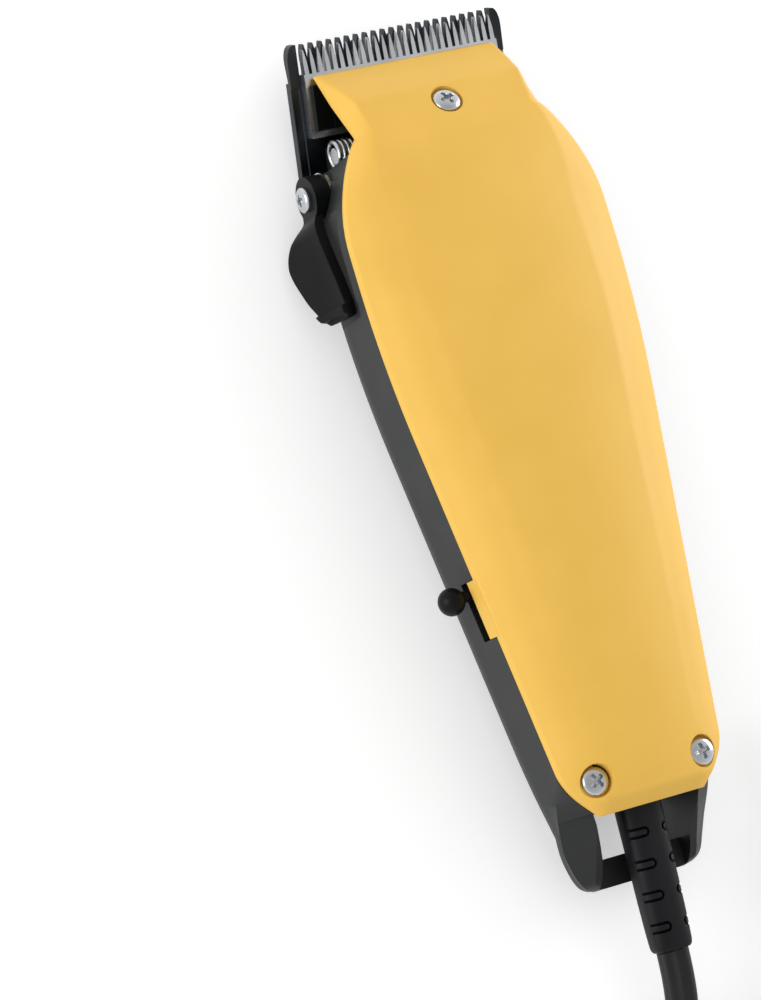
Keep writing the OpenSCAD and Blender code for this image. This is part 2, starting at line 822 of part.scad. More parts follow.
// Cross-section of the lever's arm and pad at a share t of its length
function lever_ring(t) =
    let (
        y = pivot_y - t * lever_len,
        top = pivot_z + lookup(t, [[0, 3], [0.25, 2], [0.5, 3.2], [0.75, 4.8], [0.95, 5.6], [1, 5]]),
        h = lookup(t, [
            [0, 6], [0.12, 6], [0.25, pad_h * 0.78], [0.38, pad_h * 0.95], [0.5, pad_h],
            [0.72, pad_h * 0.97], [0.88, pad_h * 0.86], [0.95, pad_h * 0.76], [1, pad_h * 0.55]
        ]),
        out = lever_in_x - lever_t - lookup(t, [[0.14, 0], [0.22, 0.6], [0.5, 0.8], [1, 1]]),
        flare = pad_flare * lookup(t, [[0.15, 0], [0.3, 0.65], [0.5, 1], [0.75, 0.8], [1, 0.4]]),
        thick = lever_t * 0.9
    )
    [
        [out + thick, y, top], [out + thick - flare * 0.45, y, top - h * 0.5],
        [out + thick - flare, y, top - h + 0.5], [out + 0.3 - flare, y, top - h],
        [out - flare, y, top - h + 0.5], [out - flare * 0.45, y, top - h * 0.5],
        [out, y, top - 0.5], [out + 0.4, y, top]
    ];
module taper_lever() {
    out_x = lever_in_x - lever_t;
    color(black)
        difference() {
            union() {
                skin([for (t = [0, 0.12, 0.25, 0.38, 0.5, 0.62, 0.75, 0.88, 0.95, 1]) lever_ring(t)]);
                translate([0, pivot_y, pivot_z])
                    along_x(hub_r, out_x, boss_face_x - 0.8);
                // rib across the end of the pad
                skin([
                    for (t = [0.89, 0.9, 0.96, 0.97])
                        let (lift = t == 0.89 || t == 0.97 ? 0.02 : 0.9)
                        [for (i = [0:7]) lever_ring(t)[i] - [i > 2 && i < 7 ? lift : -0.1, 0, i == 3 ? -0.8 : 0]]
                ]);
            }
            translate([0, pivot_y, pivot_z]) {
                along_x(shank_r + 0.1, out_x - 2, 0);
                along_x(shaft_r + 0.02, lever_in_x + 0.85, 0);
            }
        }
}
module taper_lever_screw() {
    color(shiny)
        translate([lever_in_x - lever_t - seat_gap, pivot_y, pivot_z])
            rotate([0, -90, 0])
                difference() {
                    union() {
                        translate([0, 0, -7.8])
                            cylinder(r = 1.2, h = 7.9);
                        cylinder(r = lever_head_r, h = 0.8);
                        translate([0, 0, 0.8])
                            cylinder(r1 = lever_head_r, r2 = lever_head_r - 0.8, h = 0.6);
                    }
                    translate([-1.3, -0.3, 0.8])
                        cube([2.6, 0.6, 2]);
                }
}
module lever_washer() {
    color(shiny)
        translate([0, pivot_y, pivot_z])
            difference() {
                along_x(4.4, boss_face_x - 0.75, boss_face_x - seat_gap);
                along_x(shaft_r + 0.15, boss_face_x - 2, boss_face_x + 2);
            }
}

// ================= switch =================
module switch_knob() {
    color(black)
        in_switch()
            translate([0, knob_rest_y, knob_z]) {
                translate([-knob_out, 0, 0])
                    sphere(d = knob_d);
                along_x(neck_r, -knob_out, 4.2);
            }
}
module switch_slider() {
    color(black)
        in_switch()
            translate([0, knob_rest_y, knob_z])
                difference() {
                    block([wall + slide_gap + (slider_half - knob_z) * tan(draft), 5], [-4, 4],
                          [-slider_half, slider_half]);
                    along_x(neck_r + 0.02, 0, 4.3);
                }
}
module switch_body() {
    color(dark)
        in_switch()
            difference() {
                block([5.4, 10.8], [-9, 9], [-11, -1.6]);
                block([7, 9.2], [-8, 8], [-9.4, 0]);
            }
}
module switch_terminals() {
    color(brass_tone)
        in_switch()
            for (s = [-1, 1])
                block([7.6, 8.4], s > 0 ? [9.05, 13] : [-13, -9.05], [-8.4, -4.8]);
}

// ================= cord entry =================
module strain_relief() {
    color(black)
        in_relief()
            difference() {
                union() {
                    translate([0, relief_in, 0])
                        back_along_y(relief_len + relief_in)
                            stadium(relief_w, relief_t);
                    translate([0, relief_in, 0])
                        back_along_y(2)
                            stadium(relief_w + 2.4, relief_t + 2);
                }
                // pairs of cross slots that let it bend
                for (k = [0:3])
                    translate([0, -relief_len + 4.6 + k * 5.9, 0]) {
                        block([-relief_w, -relief_w / 2 + 2.9], [-0.65, 0.65], [1, relief_t]);
                        block([relief_w / 2 - 1.8, relief_w], [-0.55, 0.55], [-relief_t, relief_t]);
                    }
            }
}
module cord_clamp() {
    color(black)
        difference() {
            block([-cord_clamp_hw, cord_clamp_hw], cord_clamp_y, [14 + seat_gap, 17.6]);
            block([-3.2, 3.2], [-60, -56], [10, 16]);
            for (s = [-1, 1])
                translate([s * cord_clamp_screw_x, cord_clamp_screw_y, 10])
                    cylinder(r = 1.15, h = 10);
        }
}
module cord_clamp_screws() {
    color(shiny)
        for (s = [-1, 1])
            translate([s * cord_clamp_screw_x, cord_clamp_screw_y, 0]) {
                translate([0, 0, 7])
                    cylinder(r = 1, h = 11);
                translate([0, 0, 17.6 + seat_gap])
                    cylinder(r = 1.7, h = 1);
            }
}
// Three insulated wires: cord to coil, cord to switch, switch to coil
wire_r = 0.85;
live_wire = [[1.6, -61, 15], [1.6, -56.8, 15], [2.8, -55.4, 15], [6.5, -54.9, 14.2], [9, -50, 13],
             [9, -24, 11], [9, -4, 7], [7, 8.6, 5]];
feed_wire = [[-1.6, -61, 15], [-1.6, -56.8, 15], [-2.8, -55.4, 15], [-8.6, -55.2, 14.8],
             [-11.9, -52.5, 12.6], [-11.9, -41, 12.6], [-11.6, -38, 14.2]];
link_wire = [[-14.6, -10.9, 14.4], [-14, -8, 12], [-12, 0, 6], [-4, 6, 4.6], [3, 10, 4.4], [4, 12, 4.6]];
module lead_wires() {
    color(black) {
        wire(live_wire, wire_r, 8);
        wire(feed_wire, wire_r, 8);
        wire(link_wire, wire_r, 8);
    }
}
module wire_joints() {
    color(yellow)
        for (w = [live_wire, feed_wire])
            let (p = w[4], d = unit(w[5] - p))
                difference() {
                    rod_between(p + d * 1.2, p + d * 7.2, 1.7);
                    rod_between(p, p + d * 9, wire_r + 0.03);
                }
}

// ================= motor =================
module stator_core() {
    color(iron_tone)
        difference() {
            translate([0, 0, core_z[0]])
                linear_extrude(core_z[1] - core_z[0])
                    polygon([
                        [core_x[0], core_y[0]], [core_x[1], core_y[0]], [core_x[1], core_y[1]],
                        [core_x[0], core_y[1]], [core_x[0], core_y[1] - outer_leg],
                        [core_x[1] - yoke, core_y[1] - outer_leg], [core_x[1] - yoke, mid_y + mid_leg / 2],
                        [core_x[0], mid_y + mid_leg / 2], [core_x[0], mid_y - mid_leg / 2],
                        [core_x[1] - yoke, mid_y - mid_leg / 2], [core_x[1] - yoke, core_y[0] + outer_leg],
                        [core_x[0], core_y[0] + outer_leg]
                    ]);
            for (p = core_post_xy)
                translate([p.x, p.y, 0])
                    cylinder(r = shank_r + 0.1, h = 40);
        }
}
module core_screws() {
    color(shiny)
        for (p = core_post_xy)
            translate([p.x, p.y, core_screw_z])
                pan_screw(core_z[1] - core_screw_z + seat_gap);
}
bobbin_x = [core_x[0] + 0.6, core_x[1] - yoke - 0.3];
bobbin_yz = [25, 20.6];
core_mid_z = (core_z[0] + core_z[1]) / 2;
core_h = core_z[1] - core_z[0];
module around_leg(x, y_size, z_size) {
    translate([x[0], mid_y - y_size / 2, core_mid_z - z_size / 2])
        cube([x[1] - x[0], y_size, z_size]);
}
module coil_bobbin() {
    color(black)
        difference() {
            union() {
                around_leg(bobbin_x, mid_leg + 2.2, core_h + 2.2);
                around_leg([bobbin_x[0], bobbin_x[0] + 1], bobbin_yz[0], bobbin_yz[1]);
                around_leg([bobbin_x[1] - 1, bobbin_x[1]], bobbin_yz[0], bobbin_yz[1]);
            }
            around_leg([0, 30], mid_leg + 0.2, core_h + 0.2);
        }
}
module coil_winding() {
    color(copper_tone)
        difference() {
            around_leg([bobbin_x[0] + 1.05, bobbin_x[1] - 1.05], bobbin_yz[0] - 2, bobbin_yz[1] - 1.8);
            around_leg([0, 30], mid_leg + 2.3, core_h + 2.3);
        }
}
module coil_tape() {
    color(yellow)
        difference() {
            around_leg([bobbin_x[0] + 3, bobbin_x[1] - 3], bobbin_yz[0] - 1.4, bobbin_yz[1] - 1.2);
            around_leg([0, 30], bobbin_yz[0] - 1.98, bobbin_yz[1] - 1.78);
        }
}
module armature_arm() {
    color(steel)
        difference() {
            union() {
                block(arm_x, [arm_rear_y, arm_front_y], arm_z);
                block([-4.5, -2.5], [arm_front_y - 1, arm_front_y + 4.5], [10.4, 12.6]);
            }
            // lightening windows
            block([-10, 2], [-30, -18], [12, 16]);
            block([-10, 2], [-14, -2], [12, 16]);
            for (p = rivet_yz)
                translate([0, p[0], p[1]])
                    along_x(1.02, -10, 2);
        }
}
module armature_core() {
    color(iron_tone)
        block([arm_x[1] + seat_gap, 2.5], core_y, core_z);
}
module drive_finger() {
    color(black)
        union() {
            difference() {
                block([-5.5, 1.9], [arm_front_y + seat_gap, 55.6], [4.6, 14]);
                block([-4.55, -2.45], [arm_front_y - 1, arm_front_y + 4.6], [10.35, 12.65]);
            }
            in_blades() {
                block([-1.7, 1.7], [-32, finger_y], [2.2, 4.6]);
                translate([0, finger_y, 2.2])
                    cylinder(r = finger_r, h = 2.4);
            }
        }
}
leaf_x = [arm_x[0] - seat_gap - leaf_t, arm_x[0] - seat_gap];
module leaf_spring() {
    color(shiny)
        difference() {
            block(leaf_x, [clamp_y[0], -34], leaf_z);
            for (z = clamp_screw_z)
                translate([0, (clamp_y[0] + clamp_y[1]) / 2, z])
                    along_x(1.15, -10, 2);
            for (p = rivet_yz)
                translate([0, p[0], p[1]])
                    along_x(1.02, -10, 2);
        }
}
module leaf_rivets() {
    color(steel)
        for (p = rivet_yz)
            translate([0, p[0], p[1]]) {
                along_x(1, leaf_x[0] - 0.5, arm_x[1]);
                along_x(1.8, leaf_x[0] - 0.7, leaf_x[0] - 0.02);
            }
}
module leaf_clamp_plate() {
    color(steel)
        difference() {
            block([leaf_x[0] - 2.05, leaf_x[0] - seat_gap], clamp_y, leaf_z);
            for (z = clamp_screw_z)
                translate([0, (clamp_y[0] + clamp_y[1]) / 2, z])
                    along_x(1.15, -20, 2);
        }
}
module leaf_clamp_screws() {
    color(shiny)
        for (z = clamp_screw_z)
            translate([0, (clamp_y[0] + clamp_y[1]) / 2, z]) {
                along_x(1, leaf_x[0] - 2.2, 1.6);
                along_x(1.9, leaf_x[0] - 3.3, leaf_x[0] - 2.1);
            }
}
module left_arm_spring() {
    color(shiny)
        translate([0, arm_spring_y, arm_spring_z])
            wire(coil_line(post_x + 0.55, arm_x[0] - 0.55, 6, arm_spring_r), 0.45);
}
module right_arm_spring() {
    color(shiny)
        translate([0, arm_spring_y, arm_spring_z])
            wire(coil_line(arm_x[1] + 0.55, seat_x - 0.55, 6, arm_spring_r), 0.45);
}
module spring_seat() {
    color(black)
        translate([0, arm_spring_y, arm_spring_z])
            union() {
                along_x(3.4, seat_x, seat_x + 1);
                along_x(1.4, seat_x - 1.6, seat_x);
            }
}
module power_screw() {
    color(shiny)
        translate([0, arm_spring_y, arm_spring_z])
            rotate([0, 90, 0])
                translate([0, 0, seat_x + 1 + seat_gap])
                    pan_screw(24.95 - seat_x - 1);
}
module power_nut() {
    color(brass_tone)
        translate([0, arm_spring_y, arm_spring_z])
            difference() {
                along_x(2.45, 19.6, 23.95);
                along_x(shank_r + seat_gap, 10, 30);
            }
}

// ================= free cord =================
module cord_run() {
    color(black)
        cord_piece(run_route);
}
module cord_tail() {
    color(black)
        cord_piece(tail_route);
}
module cord_coil() {
    r0 = coil_turn_r[0] - cord_w / 2;
    r1 = coil_turn_r[1] + cord_w / 2;
    color(black)
        translate([coil_at.x, coil_at.y, coil_z])
            rotate_extrude($fn = 96)
                translate([r0, 0])
                    square([r1 - r0, coil_layers * cord_t]);
}
module cord_tie() {
    r0 = coil_turn_r[0] - cord_w / 2 - 0.3;
    r1 = coil_turn_r[1] + cord_w / 2 + 0.2;
    top = coil_z + coil_layers * cord_t + 0.1;
    color(black)
        translate([coil_at.x, coil_at.y, 0])
            difference() {
                block([-3, 3], [r0 - 0.7, r1 + 0.7], [0.05, top + 0.7]);
                block([-4, 4], [r0, r1], [coil_z - 0.05, top]);
            }
}
module plug_body() {
    end = tail_route[len(tail_route) - 1];
    color(black)
        translate([end.x, plug_y, end.z])
            mirror([0, 1, 0])
                union() {
                    back_along_y(0.01 + plug_len * 0.55)
                        stadium(plug_w * 0.8, plug_t * 0.9);
                    translate([0, -plug_len * 0.5, 0])
                        back_along_y(plug_len * 0.5)
                            stadium(plug_w, plug_t);
                    translate([0, plug_relief_len, 0])
                        back_along_y(plug_relief_len + 0.5)
                            stadium(cord_w + 2, cord_t + 2);
                }
}
module plug_pins() {
    end = tail_route[len(tail_route) - 1];
    color(shiny)
        for (s = [-1, 1])
            translate([end.x + s * pin_gap / 2, plug_y + plug_len, end.z])
                rotate([-90, 0, 0]) {
                    cylinder(r = pin_r, h = pin_len - 0.6);
                    translate([0, 0, pin_len - 0.6])
                        cylinder(r1 = pin_r, r2 = pin_r - 0.6, h = 0.6);
                }
}

top_cover();
bottom_housing();
front_cover_screw();
rear_cover_screws();
fixed_blade();
blade_screws();
moving_blade();
blade_drive_guide();
tension_spring();
spring_rod();
taper_slider();
taper_cam();
taper_lever();
taper_lever_screw();
lever_washer();
switch_knob();
switch_slider();
switch_body();
switch_terminals();
strain_relief();
cord_clamp();
cord_clamp_screws();
lead_wires();
wire_joints();
stator_core();
core_screws();
coil_bobbin();
coil_winding();
coil_tape();
armature_arm();
armature_core();
drive_finger();
leaf_spring();
leaf_rivets();
leaf_clamp_plate();
leaf_clamp_screws();
left_arm_spring();
right_arm_spring();
spring_seat();
power_screw();
power_nut();
cord_run();
cord_coil();
cord_tail();
cord_tie();
plug_body();
plug_pins();
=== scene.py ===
"""Corded hair clipper: the looks of each piece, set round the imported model.

All sizes in the functions are millimetres, and blank() turns them into metres.
X runs across, Y runs forward to the blades, Z is up from the resting face.
"""

import bmesh
import bpy
import numpy as np
from mathutils import Matrix


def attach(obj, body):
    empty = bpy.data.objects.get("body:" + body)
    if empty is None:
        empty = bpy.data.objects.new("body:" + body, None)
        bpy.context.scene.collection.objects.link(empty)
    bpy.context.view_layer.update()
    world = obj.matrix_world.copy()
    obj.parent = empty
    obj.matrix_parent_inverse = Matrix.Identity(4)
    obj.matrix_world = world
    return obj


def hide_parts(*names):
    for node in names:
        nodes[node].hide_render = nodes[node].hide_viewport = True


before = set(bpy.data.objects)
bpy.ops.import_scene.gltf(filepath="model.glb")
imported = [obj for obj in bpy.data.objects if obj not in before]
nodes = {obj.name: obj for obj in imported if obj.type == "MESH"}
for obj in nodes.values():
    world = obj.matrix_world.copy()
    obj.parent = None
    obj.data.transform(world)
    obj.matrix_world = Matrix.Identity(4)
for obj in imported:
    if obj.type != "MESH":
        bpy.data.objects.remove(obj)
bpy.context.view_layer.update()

# ---------- Camera ----------
# A long lens looks steeply down on the crown from the rear left, rolled so that the blades point
# to the upper left.
aim = np.array([-34.84, -1.85, 21.0])
lean_left, lean_back, roll, distance = 0.448436, 0.102364, 0.289117, 752.12

toward = np.array([
    -np.sin(lean_left) * np.cos(lean_back), -np.sin(lean_back), np.cos(lean_left) * np.cos(lean_back)
])
ahead = np.array([0.0, 1.0, 0.0]) - toward * toward[1]
ahead /= np.linalg.norm(ahead)
across = np.cross(ahead, toward)
frame_up = ahead * np.cos(roll) + across * np.sin(roll)
frame_right = across * np.cos(roll) - ahead * np.sin(roll)
lens = bpy.data.cameras.new("camera")
lens.lens = 198.87
lens.sensor_width = 36
lens.sensor_fit = "HORIZONTAL"
lens.clip_end = 20
camera = bpy.data.objects.new("camera", lens)
stand = Matrix([list(row) for row in np.column_stack([frame_right, frame_up, toward])]).to_4x4()
stand.translation = (aim + toward * distance) / 1000
camera.matrix_world = stand
bpy.context.scene.collection.objects.link(camera)
bpy.context.scene.camera = camera


# ---------- Cord ----------
# A flat twin flex in soft black PVC, extruded round two cores, so a shallow groove runs along it.
# It leaves the strain relief, lies in a tied coil of four layers and comes back to its plug.
def linear(code):
    """Linear colour of an sRGB hex value."""
    s = np.array([int(code[i:i + 2], 16) for i in (1, 3, 5)]) / 255
    return (*np.where(s <= 0.04045, s / 12.92, ((s + 0.055) / 1.055) ** 2.4), 1.0)


def add(finish, kind, inputs=(), **settings):
    """Adds a shader node with its settings, and its inputs as values or as (node, output) links."""
    made = finish.node_tree.nodes.new("ShaderNode" + kind)
    for name, value in settings.items():
        setattr(made, name, value)
    for name, value in dict(inputs).items():
        if isinstance(value, tuple) and isinstance(value[0], bpy.types.Node):
            finish.node_tree.links.new(value[0].outputs[value[1]], made.inputs[name])
        else:
            made.inputs[name].default_value = value
    return made


def bare(name):
    """New material with an empty node tree."""
    finish = bpy.data.materials.new(name)
    finish.use_nodes = True
    finish.node_tree.nodes.clear()
    return finish


def ramp(finish, source, deep, light, low=0.0, high=1.0):
    """Colour ramp from the deep to the light colour between two values of its source."""
    tone = add(finish, "ValToRGB", {"Fac": source})
    for end, place, code in zip(tone.color_ramp.elements, (low, high), (deep, light)):
        end.position, end.color = place, linear(code)
    return tone


def moulded(name, light, deep, grain, relief, shader):
    """Moulded or extruded polymer: a fine surface grain (its pitch and height in mm) and a slow,
    slight drift of tone from the deep to the light colour."""
    finish = bare(name)
    place = add(finish, "TexCoord")
    drift = add(finish, "TexNoise", {"Vector": (place, "Object"), "Scale": 90, "Detail": 3})
    tone = ramp(finish, (drift, "Fac"), deep, light, 0.3, 0.7)
    fine = add(finish, "TexNoise", {
        "Vector": (place, "Object"), "Scale": 1000 / grain, "Detail": 2, "Roughness": 0.6
    })
    bump = add(finish, "Bump", {"Height": (fine, "Fac"), "Strength": 1, "Distance": relief / 1000})
    gloss = shader["Roughness"]
    worn = add(finish, "MapRange", {
        "Value": (drift, "Fac"), "From Min": 0.3, "From Max": 0.7, "To Min": gloss * 0.92,
        "To Max": gloss * 1.08
    })
    body = add(finish, "BsdfPrincipled", {
        **shader, "Base Color": (tone, "Color"), "Roughness": (worn, "Result"), "Normal": (bump, "Normal")
    })
    add(finish, "OutputMaterial", {"Surface": (body, "BSDF")})
    return finish


def blank(name, points, faces):
    """Object whose mesh has these points, given in mm, and faces; doubled points are merged and
    the closed mesh is turned to face outwards."""
    mesh = bpy.data.meshes.new(name)
    mesh.from_pydata((np.asarray(points, float).reshape(-1, 3) / 1000).tolist(), [], faces)
    tidy = bmesh.new()
    tidy.from_mesh(mesh)
    bmesh.ops.remove_doubles(tidy, verts=tidy.verts, dist=2e-6)
    bmesh.ops.dissolve_degenerate(tidy, edges=tidy.edges, dist=1e-6)
    bmesh.ops.recalc_face_normals(tidy, faces=tidy.faces)
    tidy.to_mesh(mesh)
    tidy.free()
    made = bpy.data.objects.new(name, mesh)
    bpy.context.scene.collection.objects.link(made)
    return made


def skin(rings, ring_closed=True, ends="caps"):
    """Points and faces of a skin over rings (rows of points in a grid): each point is joined to the
    next along its ring and to its like in the next ring. Ends are capped, joined up, or left."""
    rows, count = rings.shape[:2]
    i = np.arange(rows if ends == "joined" else rows - 1)[:, None]
    j = np.arange(count if ring_closed else count - 1)[None, :]
    a, b = i * count + j, i * count + (j + 1) % count
    up = ((i + 1) % rows) * count - i * count
    faces = np.stack([a, b, b + up, a + up], -1).reshape(-1, 4).tolist()
    if ends == "caps":
        faces += [list(range(count - 1, -1, -1)), list(range((rows - 1) * count, rows * count))]
    return rings.reshape(-1, 3), faces


def shaded(piece, crease=38):
    """Smooth shading, broken where faces meet at more than the crease angle, in degrees."""
    piece.data.shade_smooth()
    piece.data.set_sharp_from_angle(angle=np.radians(crease))


def fit(piece, body, finish, stands_for=()):
    """Gives the piece its finish, sets it on its body, and hides the CAD nodes that it stands for."""
    piece.data.materials.clear()
    piece.data.materials.append(finish)
    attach(piece, body)
    if stands_for:
        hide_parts(*stands_for)
    return piece


def through(x, knots):
    """Smooth curve through (place, value) knots that never overshoots: cubic pieces whose slope at a
    knot is the weighted harmonic mean of the slopes beside it, and zero at a turning point."""
    at, value = np.array(knots, float).T
    gap = np.diff(at)
    rise = np.diff(value) / gap
    w1, w2 = 2 * gap[1:] + gap[:-1], gap[1:] + 2 * gap[:-1]
    same = rise[1:] * rise[:-1] > 0
    low, high = np.where(same, rise[:-1], 1), np.where(same, rise[1:], 1)
    slope = np.concatenate([rise[:1], np.where(same, (w1 + w2) / (w1 / low + w2 / high), 0), rise[-1:]])
    x = np.clip(x, at[0], at[-1])
    i = np.clip(np.searchsorted(at, x, side="right") - 1, 0, len(gap) - 1)
    t = (x - at[i]) / gap[i]
    return (value[i] * (1 + 2 * t) * (1 - t) ** 2 + slope[i] * gap[i] * t * (1 - t) ** 2
            + value[i + 1] * t * t * (3 - 2 * t) - slope[i + 1] * gap[i] * t * t * (1 - t))


def step(x):
    """Rises from 0 to 1 between x = 0 and x = 1, level at both ends."""
    x = np.clip(x, 0, 1)
    return x * x * (3 - 2 * x)


def evenly(points, pitch):
    """Points at an even pitch along a smooth curve through the given ones."""
    points = np.asarray(points, float)
    along = np.concatenate([[0], np.cumsum(np.linalg.norm(np.diff(points, axis=0), axis=1))])
    at = np.linspace(0, along[-1], int(along[-1] / pitch) + 1)
    return np.stack([through(at, np.stack([along, points[:, k]], 1)) for k in range(3)], 1)


def carried(path, outline):
    """Rings of a flat outline (x across, z up) carried along a path: each point is the path's point
    plus x times the level direction square to the path plus z times the direction square to both."""
    run = np.gradient(path, axis=0)
    run /= np.linalg.norm(run, axis=1, keepdims=True)
    side = np.stack([run[:, 1], -run[:, 0], np.zeros(len(run))], 1)
    side /= np.linalg.norm(side, axis=1, keepdims=True)
    up = np.cross(side, run)
    return path[:, None] + side[:, None] * outline[None, :, :1] + up[:, None] * outline[None, :, 1:]


cord_w, cord_t = 6.4, 3.4
run_route = [
    [0, -93.75, 12.2], [0, -97, 11.7], [-0.1, -101, 10.9], [-0.5, -106, 9.5], [-1.4, -111, 7.6],
    [-2.6, -116, 5.7], [-4.3, -121, 4.1], [-6.5, -126, 3], [-8.6, -130, 2.65], [-10.7, -133.6, 2.6]
]
tail_route = [
    [58.3, -146.4, 12.8], [57.2, -141, 11.9], [56.6, -136, 10.7], [56.2, -131, 9.4],
    [56.05, -126, 8.2], [56, -121, 7.2], [56, -116.2, 6.8]
]
coil_at = np.array([21.0, -155.0])
coil_turn_r = [30.2, 36.8]
coil_layers = 4


def coil_turns():
    """The coil: the angle runs on evenly; in each layer the radius swings once between the outer and
    the inner track, and between layers the height steps up by the cord's thickness."""
    start = np.array(run_route[-1][:2]) - coil_at
    end = np.array(tail_route[0][:2]) - coil_at
    first = np.arctan2(start[1], start[0])
    last = np.arctan2(end[1], end[0]) + 16 * np.pi
    turn = np.linspace(first, last, 640)[1:-1]
    layer = coil_layers * (turn - first) / (last - first)
    swing = step((layer % 1 - 0.482) / 0.058 + 0.5)
    swing = np.where(layer.astype(int) % 2 == 0, swing, 1 - swing)
    level = sum(step((layer - k) / 0.052 + 0.5) for k in range(1, coil_layers))
    reach = coil_turn_r[1] + (coil_turn_r[0] - coil_turn_r[1]) * swing
    reach = reach + (np.hypot(*start) - coil_turn_r[1]) * (1 - step(layer / 0.06))
    reach = reach + (np.hypot(*end) - coil_turn_r[1]) * step((layer - coil_layers) / 0.06 + 1)
    height = run_route[-1][2] + cord_t * level
    return np.stack([coil_at[0] + reach * np.cos(turn), coil_at[1] + reach * np.sin(turn), height], 1)


cord_path = evenly(np.concatenate([run_route, coil_turns(), tail_route]), 2.2)
lobe = np.radians(np.linspace(-90, 90, 11))
lobe_x, lobe_z = (cord_w - cord_t) / 2 + cord_t / 2 * np.cos(lobe), cord_t / 2 * np.sin(lobe)
groove = cord_t / 2 - 0.35
cord_outline = np.concatenate([
    np.stack([lobe_x, lobe_z], 1), [[0.5, groove + 0.12], [0, groove], [-0.5, groove + 0.12]],
    np.stack([-lobe_x[::-1], lobe_z[::-1]], 1),
    [[-0.5, -groove - 0.12], [0, -groove], [0.5, -groove - 0.12]]
])
# Extruded soft PVC: a satin black with a dull drawn skin
flex_pvc = moulded("flex_pvc", "#151618", "#0F1011", 0.5, 0.01, {
    "Roughness": 0.42, "IOR": 1.5, "Specular IOR Level": 0.38
})
flex = blank("flex", *skin(carried(cord_path, cord_outline)))
shaded(flex, 60)
fit(flex, "clipper", flex_pvc, ["cord_run", "cord_coil", "cord_tail"])


# ---------- Plug ----------
# A two-pin plug moulded in one with its own short strain relief. Its grip swells towards the pins,
# which are nickel-plated brass rods pressed into it.
def oval(half_w, half_t, power, count=56):
    """Superellipse outline: x = a·cos^(2/n), z = b·sin^(2/n), for arrays of a, b and n."""
    turn = np.linspace(0, 2 * np.pi, count, endpoint=False)[None, :]
    a, b, n = (np.asarray(v, float)[:, None] for v in (half_w, half_t, power))
    c, s = np.cos(turn), np.sin(turn)
    return np.stack([
        a * np.sign(c) * np.abs(c) ** (2 / n), b * np.sign(s) * np.abs(s) ** (2 / n)
    ], -1)


def plug_rings():
    """Rings along Y: ribbed relief, shoulder, waisted grip and rounded face, then shut at the face."""
    y = np.concatenate([
        [-116.0, -116.0], np.linspace(-115.8, -104.6, 36), np.linspace(-104.4, -75.6, 60),
        [-75.2, -74.9, -74.6, -74.3, -74.1, -74.0, -74.0]
    ])
    rib = np.where(y < -105, 0.35 * np.cos((y + 115.8) * 2 * np.pi / 2.4), 0)
    half_w = through(y, [
        [-116, 3.5], [-115.6, 3.9], [-106, 4.2], [-104.4, 5.4], [-102.5, 8.4], [-99, 10.2], [-94, 10.3],
        [-90, 10.6], [-86, 12.3], [-81, 13], [-76, 12.9], [-74.5, 12.4], [-74, 11.9]
    ]) + rib
    half_t = through(y, [
        [-116, 2.1], [-115.6, 2.5], [-106, 2.7], [-104.4, 3.4], [-102.5, 5], [-99, 6], [-94, 5.9],
        [-90, 5.6], [-86, 6.2], [-81, 6.8], [-76, 6.7], [-74.5, 6.2], [-74, 5.7]
    ]) + rib * 0.7
    shut = np.zeros(len(y))
    shut[0] = shut[-1] = 1
    half_w, half_t = half_w * (1 - shut), half_t * (1 - shut)
    flat = oval(half_w, half_t, np.where(y < -104, 2.4, 2.9))
    return np.stack([56 + flat[..., 0], np.broadcast_to(y[:, None], flat.shape[:2]), 6.8 + flat[..., 1]], -1)


# Injection-moulded PVC: a shade greyer and duller than the flex, with a spark-eroded grain
plug_pvc = moulded("plug_pvc", "#191A1B", "#131415", 0.35, 0.02, {"Roughness": 0.5, "IOR": 1.5})
plug = blank("plug", *skin(plug_rings()[:, ::-1], ends="open"))
shaded(plug)
fit(plug, "clipper", plug_pvc, ["plug_body"])


def metal(name, light, deep, pitch, relief, stretch, shader):
    """Worked metal: grinding or drawing marks at a pitch and height in mm, drawn out along the axis
    whose stretch is small, over a faint drift of tone."""
    finish = bare(name)
    place = add(finish, "TexCoord")
    pull = add(finish, "Mapping", {"Vector": (place, "Object"), "Scale": stretch})
    marks = add(finish, "TexNoise", {
        "Vector": (pull, "Vector"), "Scale": 1000 / pitch, "Detail": 3, "Roughness": 0.65
    })
    drift = add(finish, "TexNoise", {"Vector": (place, "Object"), "Scale": 160, "Detail": 2})
    tone = ramp(finish, (drift, "Fac"), deep, light, 0.3, 0.7)
    gloss = shader["Roughness"]
    rub = add(finish, "MapRange", {
        "Value": (marks, "Fac"), "From Min": 0.3, "From Max": 0.7, "To Min": gloss * 0.85,
        "To Max": gloss * 1.15
    })
    bump = add(finish, "Bump", {"Height": (marks, "Fac"), "Strength": 1, "Distance": relief / 1000})
    body = add(finish, "BsdfPrincipled", {
        "Metallic": 1.0, **shader, "Base Color": (tone, "Color"), "Roughness": (rub, "Result"),
        "Normal": (bump, "Normal")
    })
    add(finish, "OutputMaterial", {"Surface": (body, "BSDF")})
    return finish


def paint(finish, *names):
    """Gives CAD nodes their finish."""
    for name in names:
        for place in nodes[name].material_slots:
            place.material = finish


# Bright nickel plate over brass: warm white metal with faint drawing marks along the pin
nickel_plate = metal("nickel_plate", "#D2CCBE", "#C4BDAE", 0.4, 0.004, (1, 0.05, 1), {"Roughness": 0.2})
paint(nickel_plate, "plug_pins")


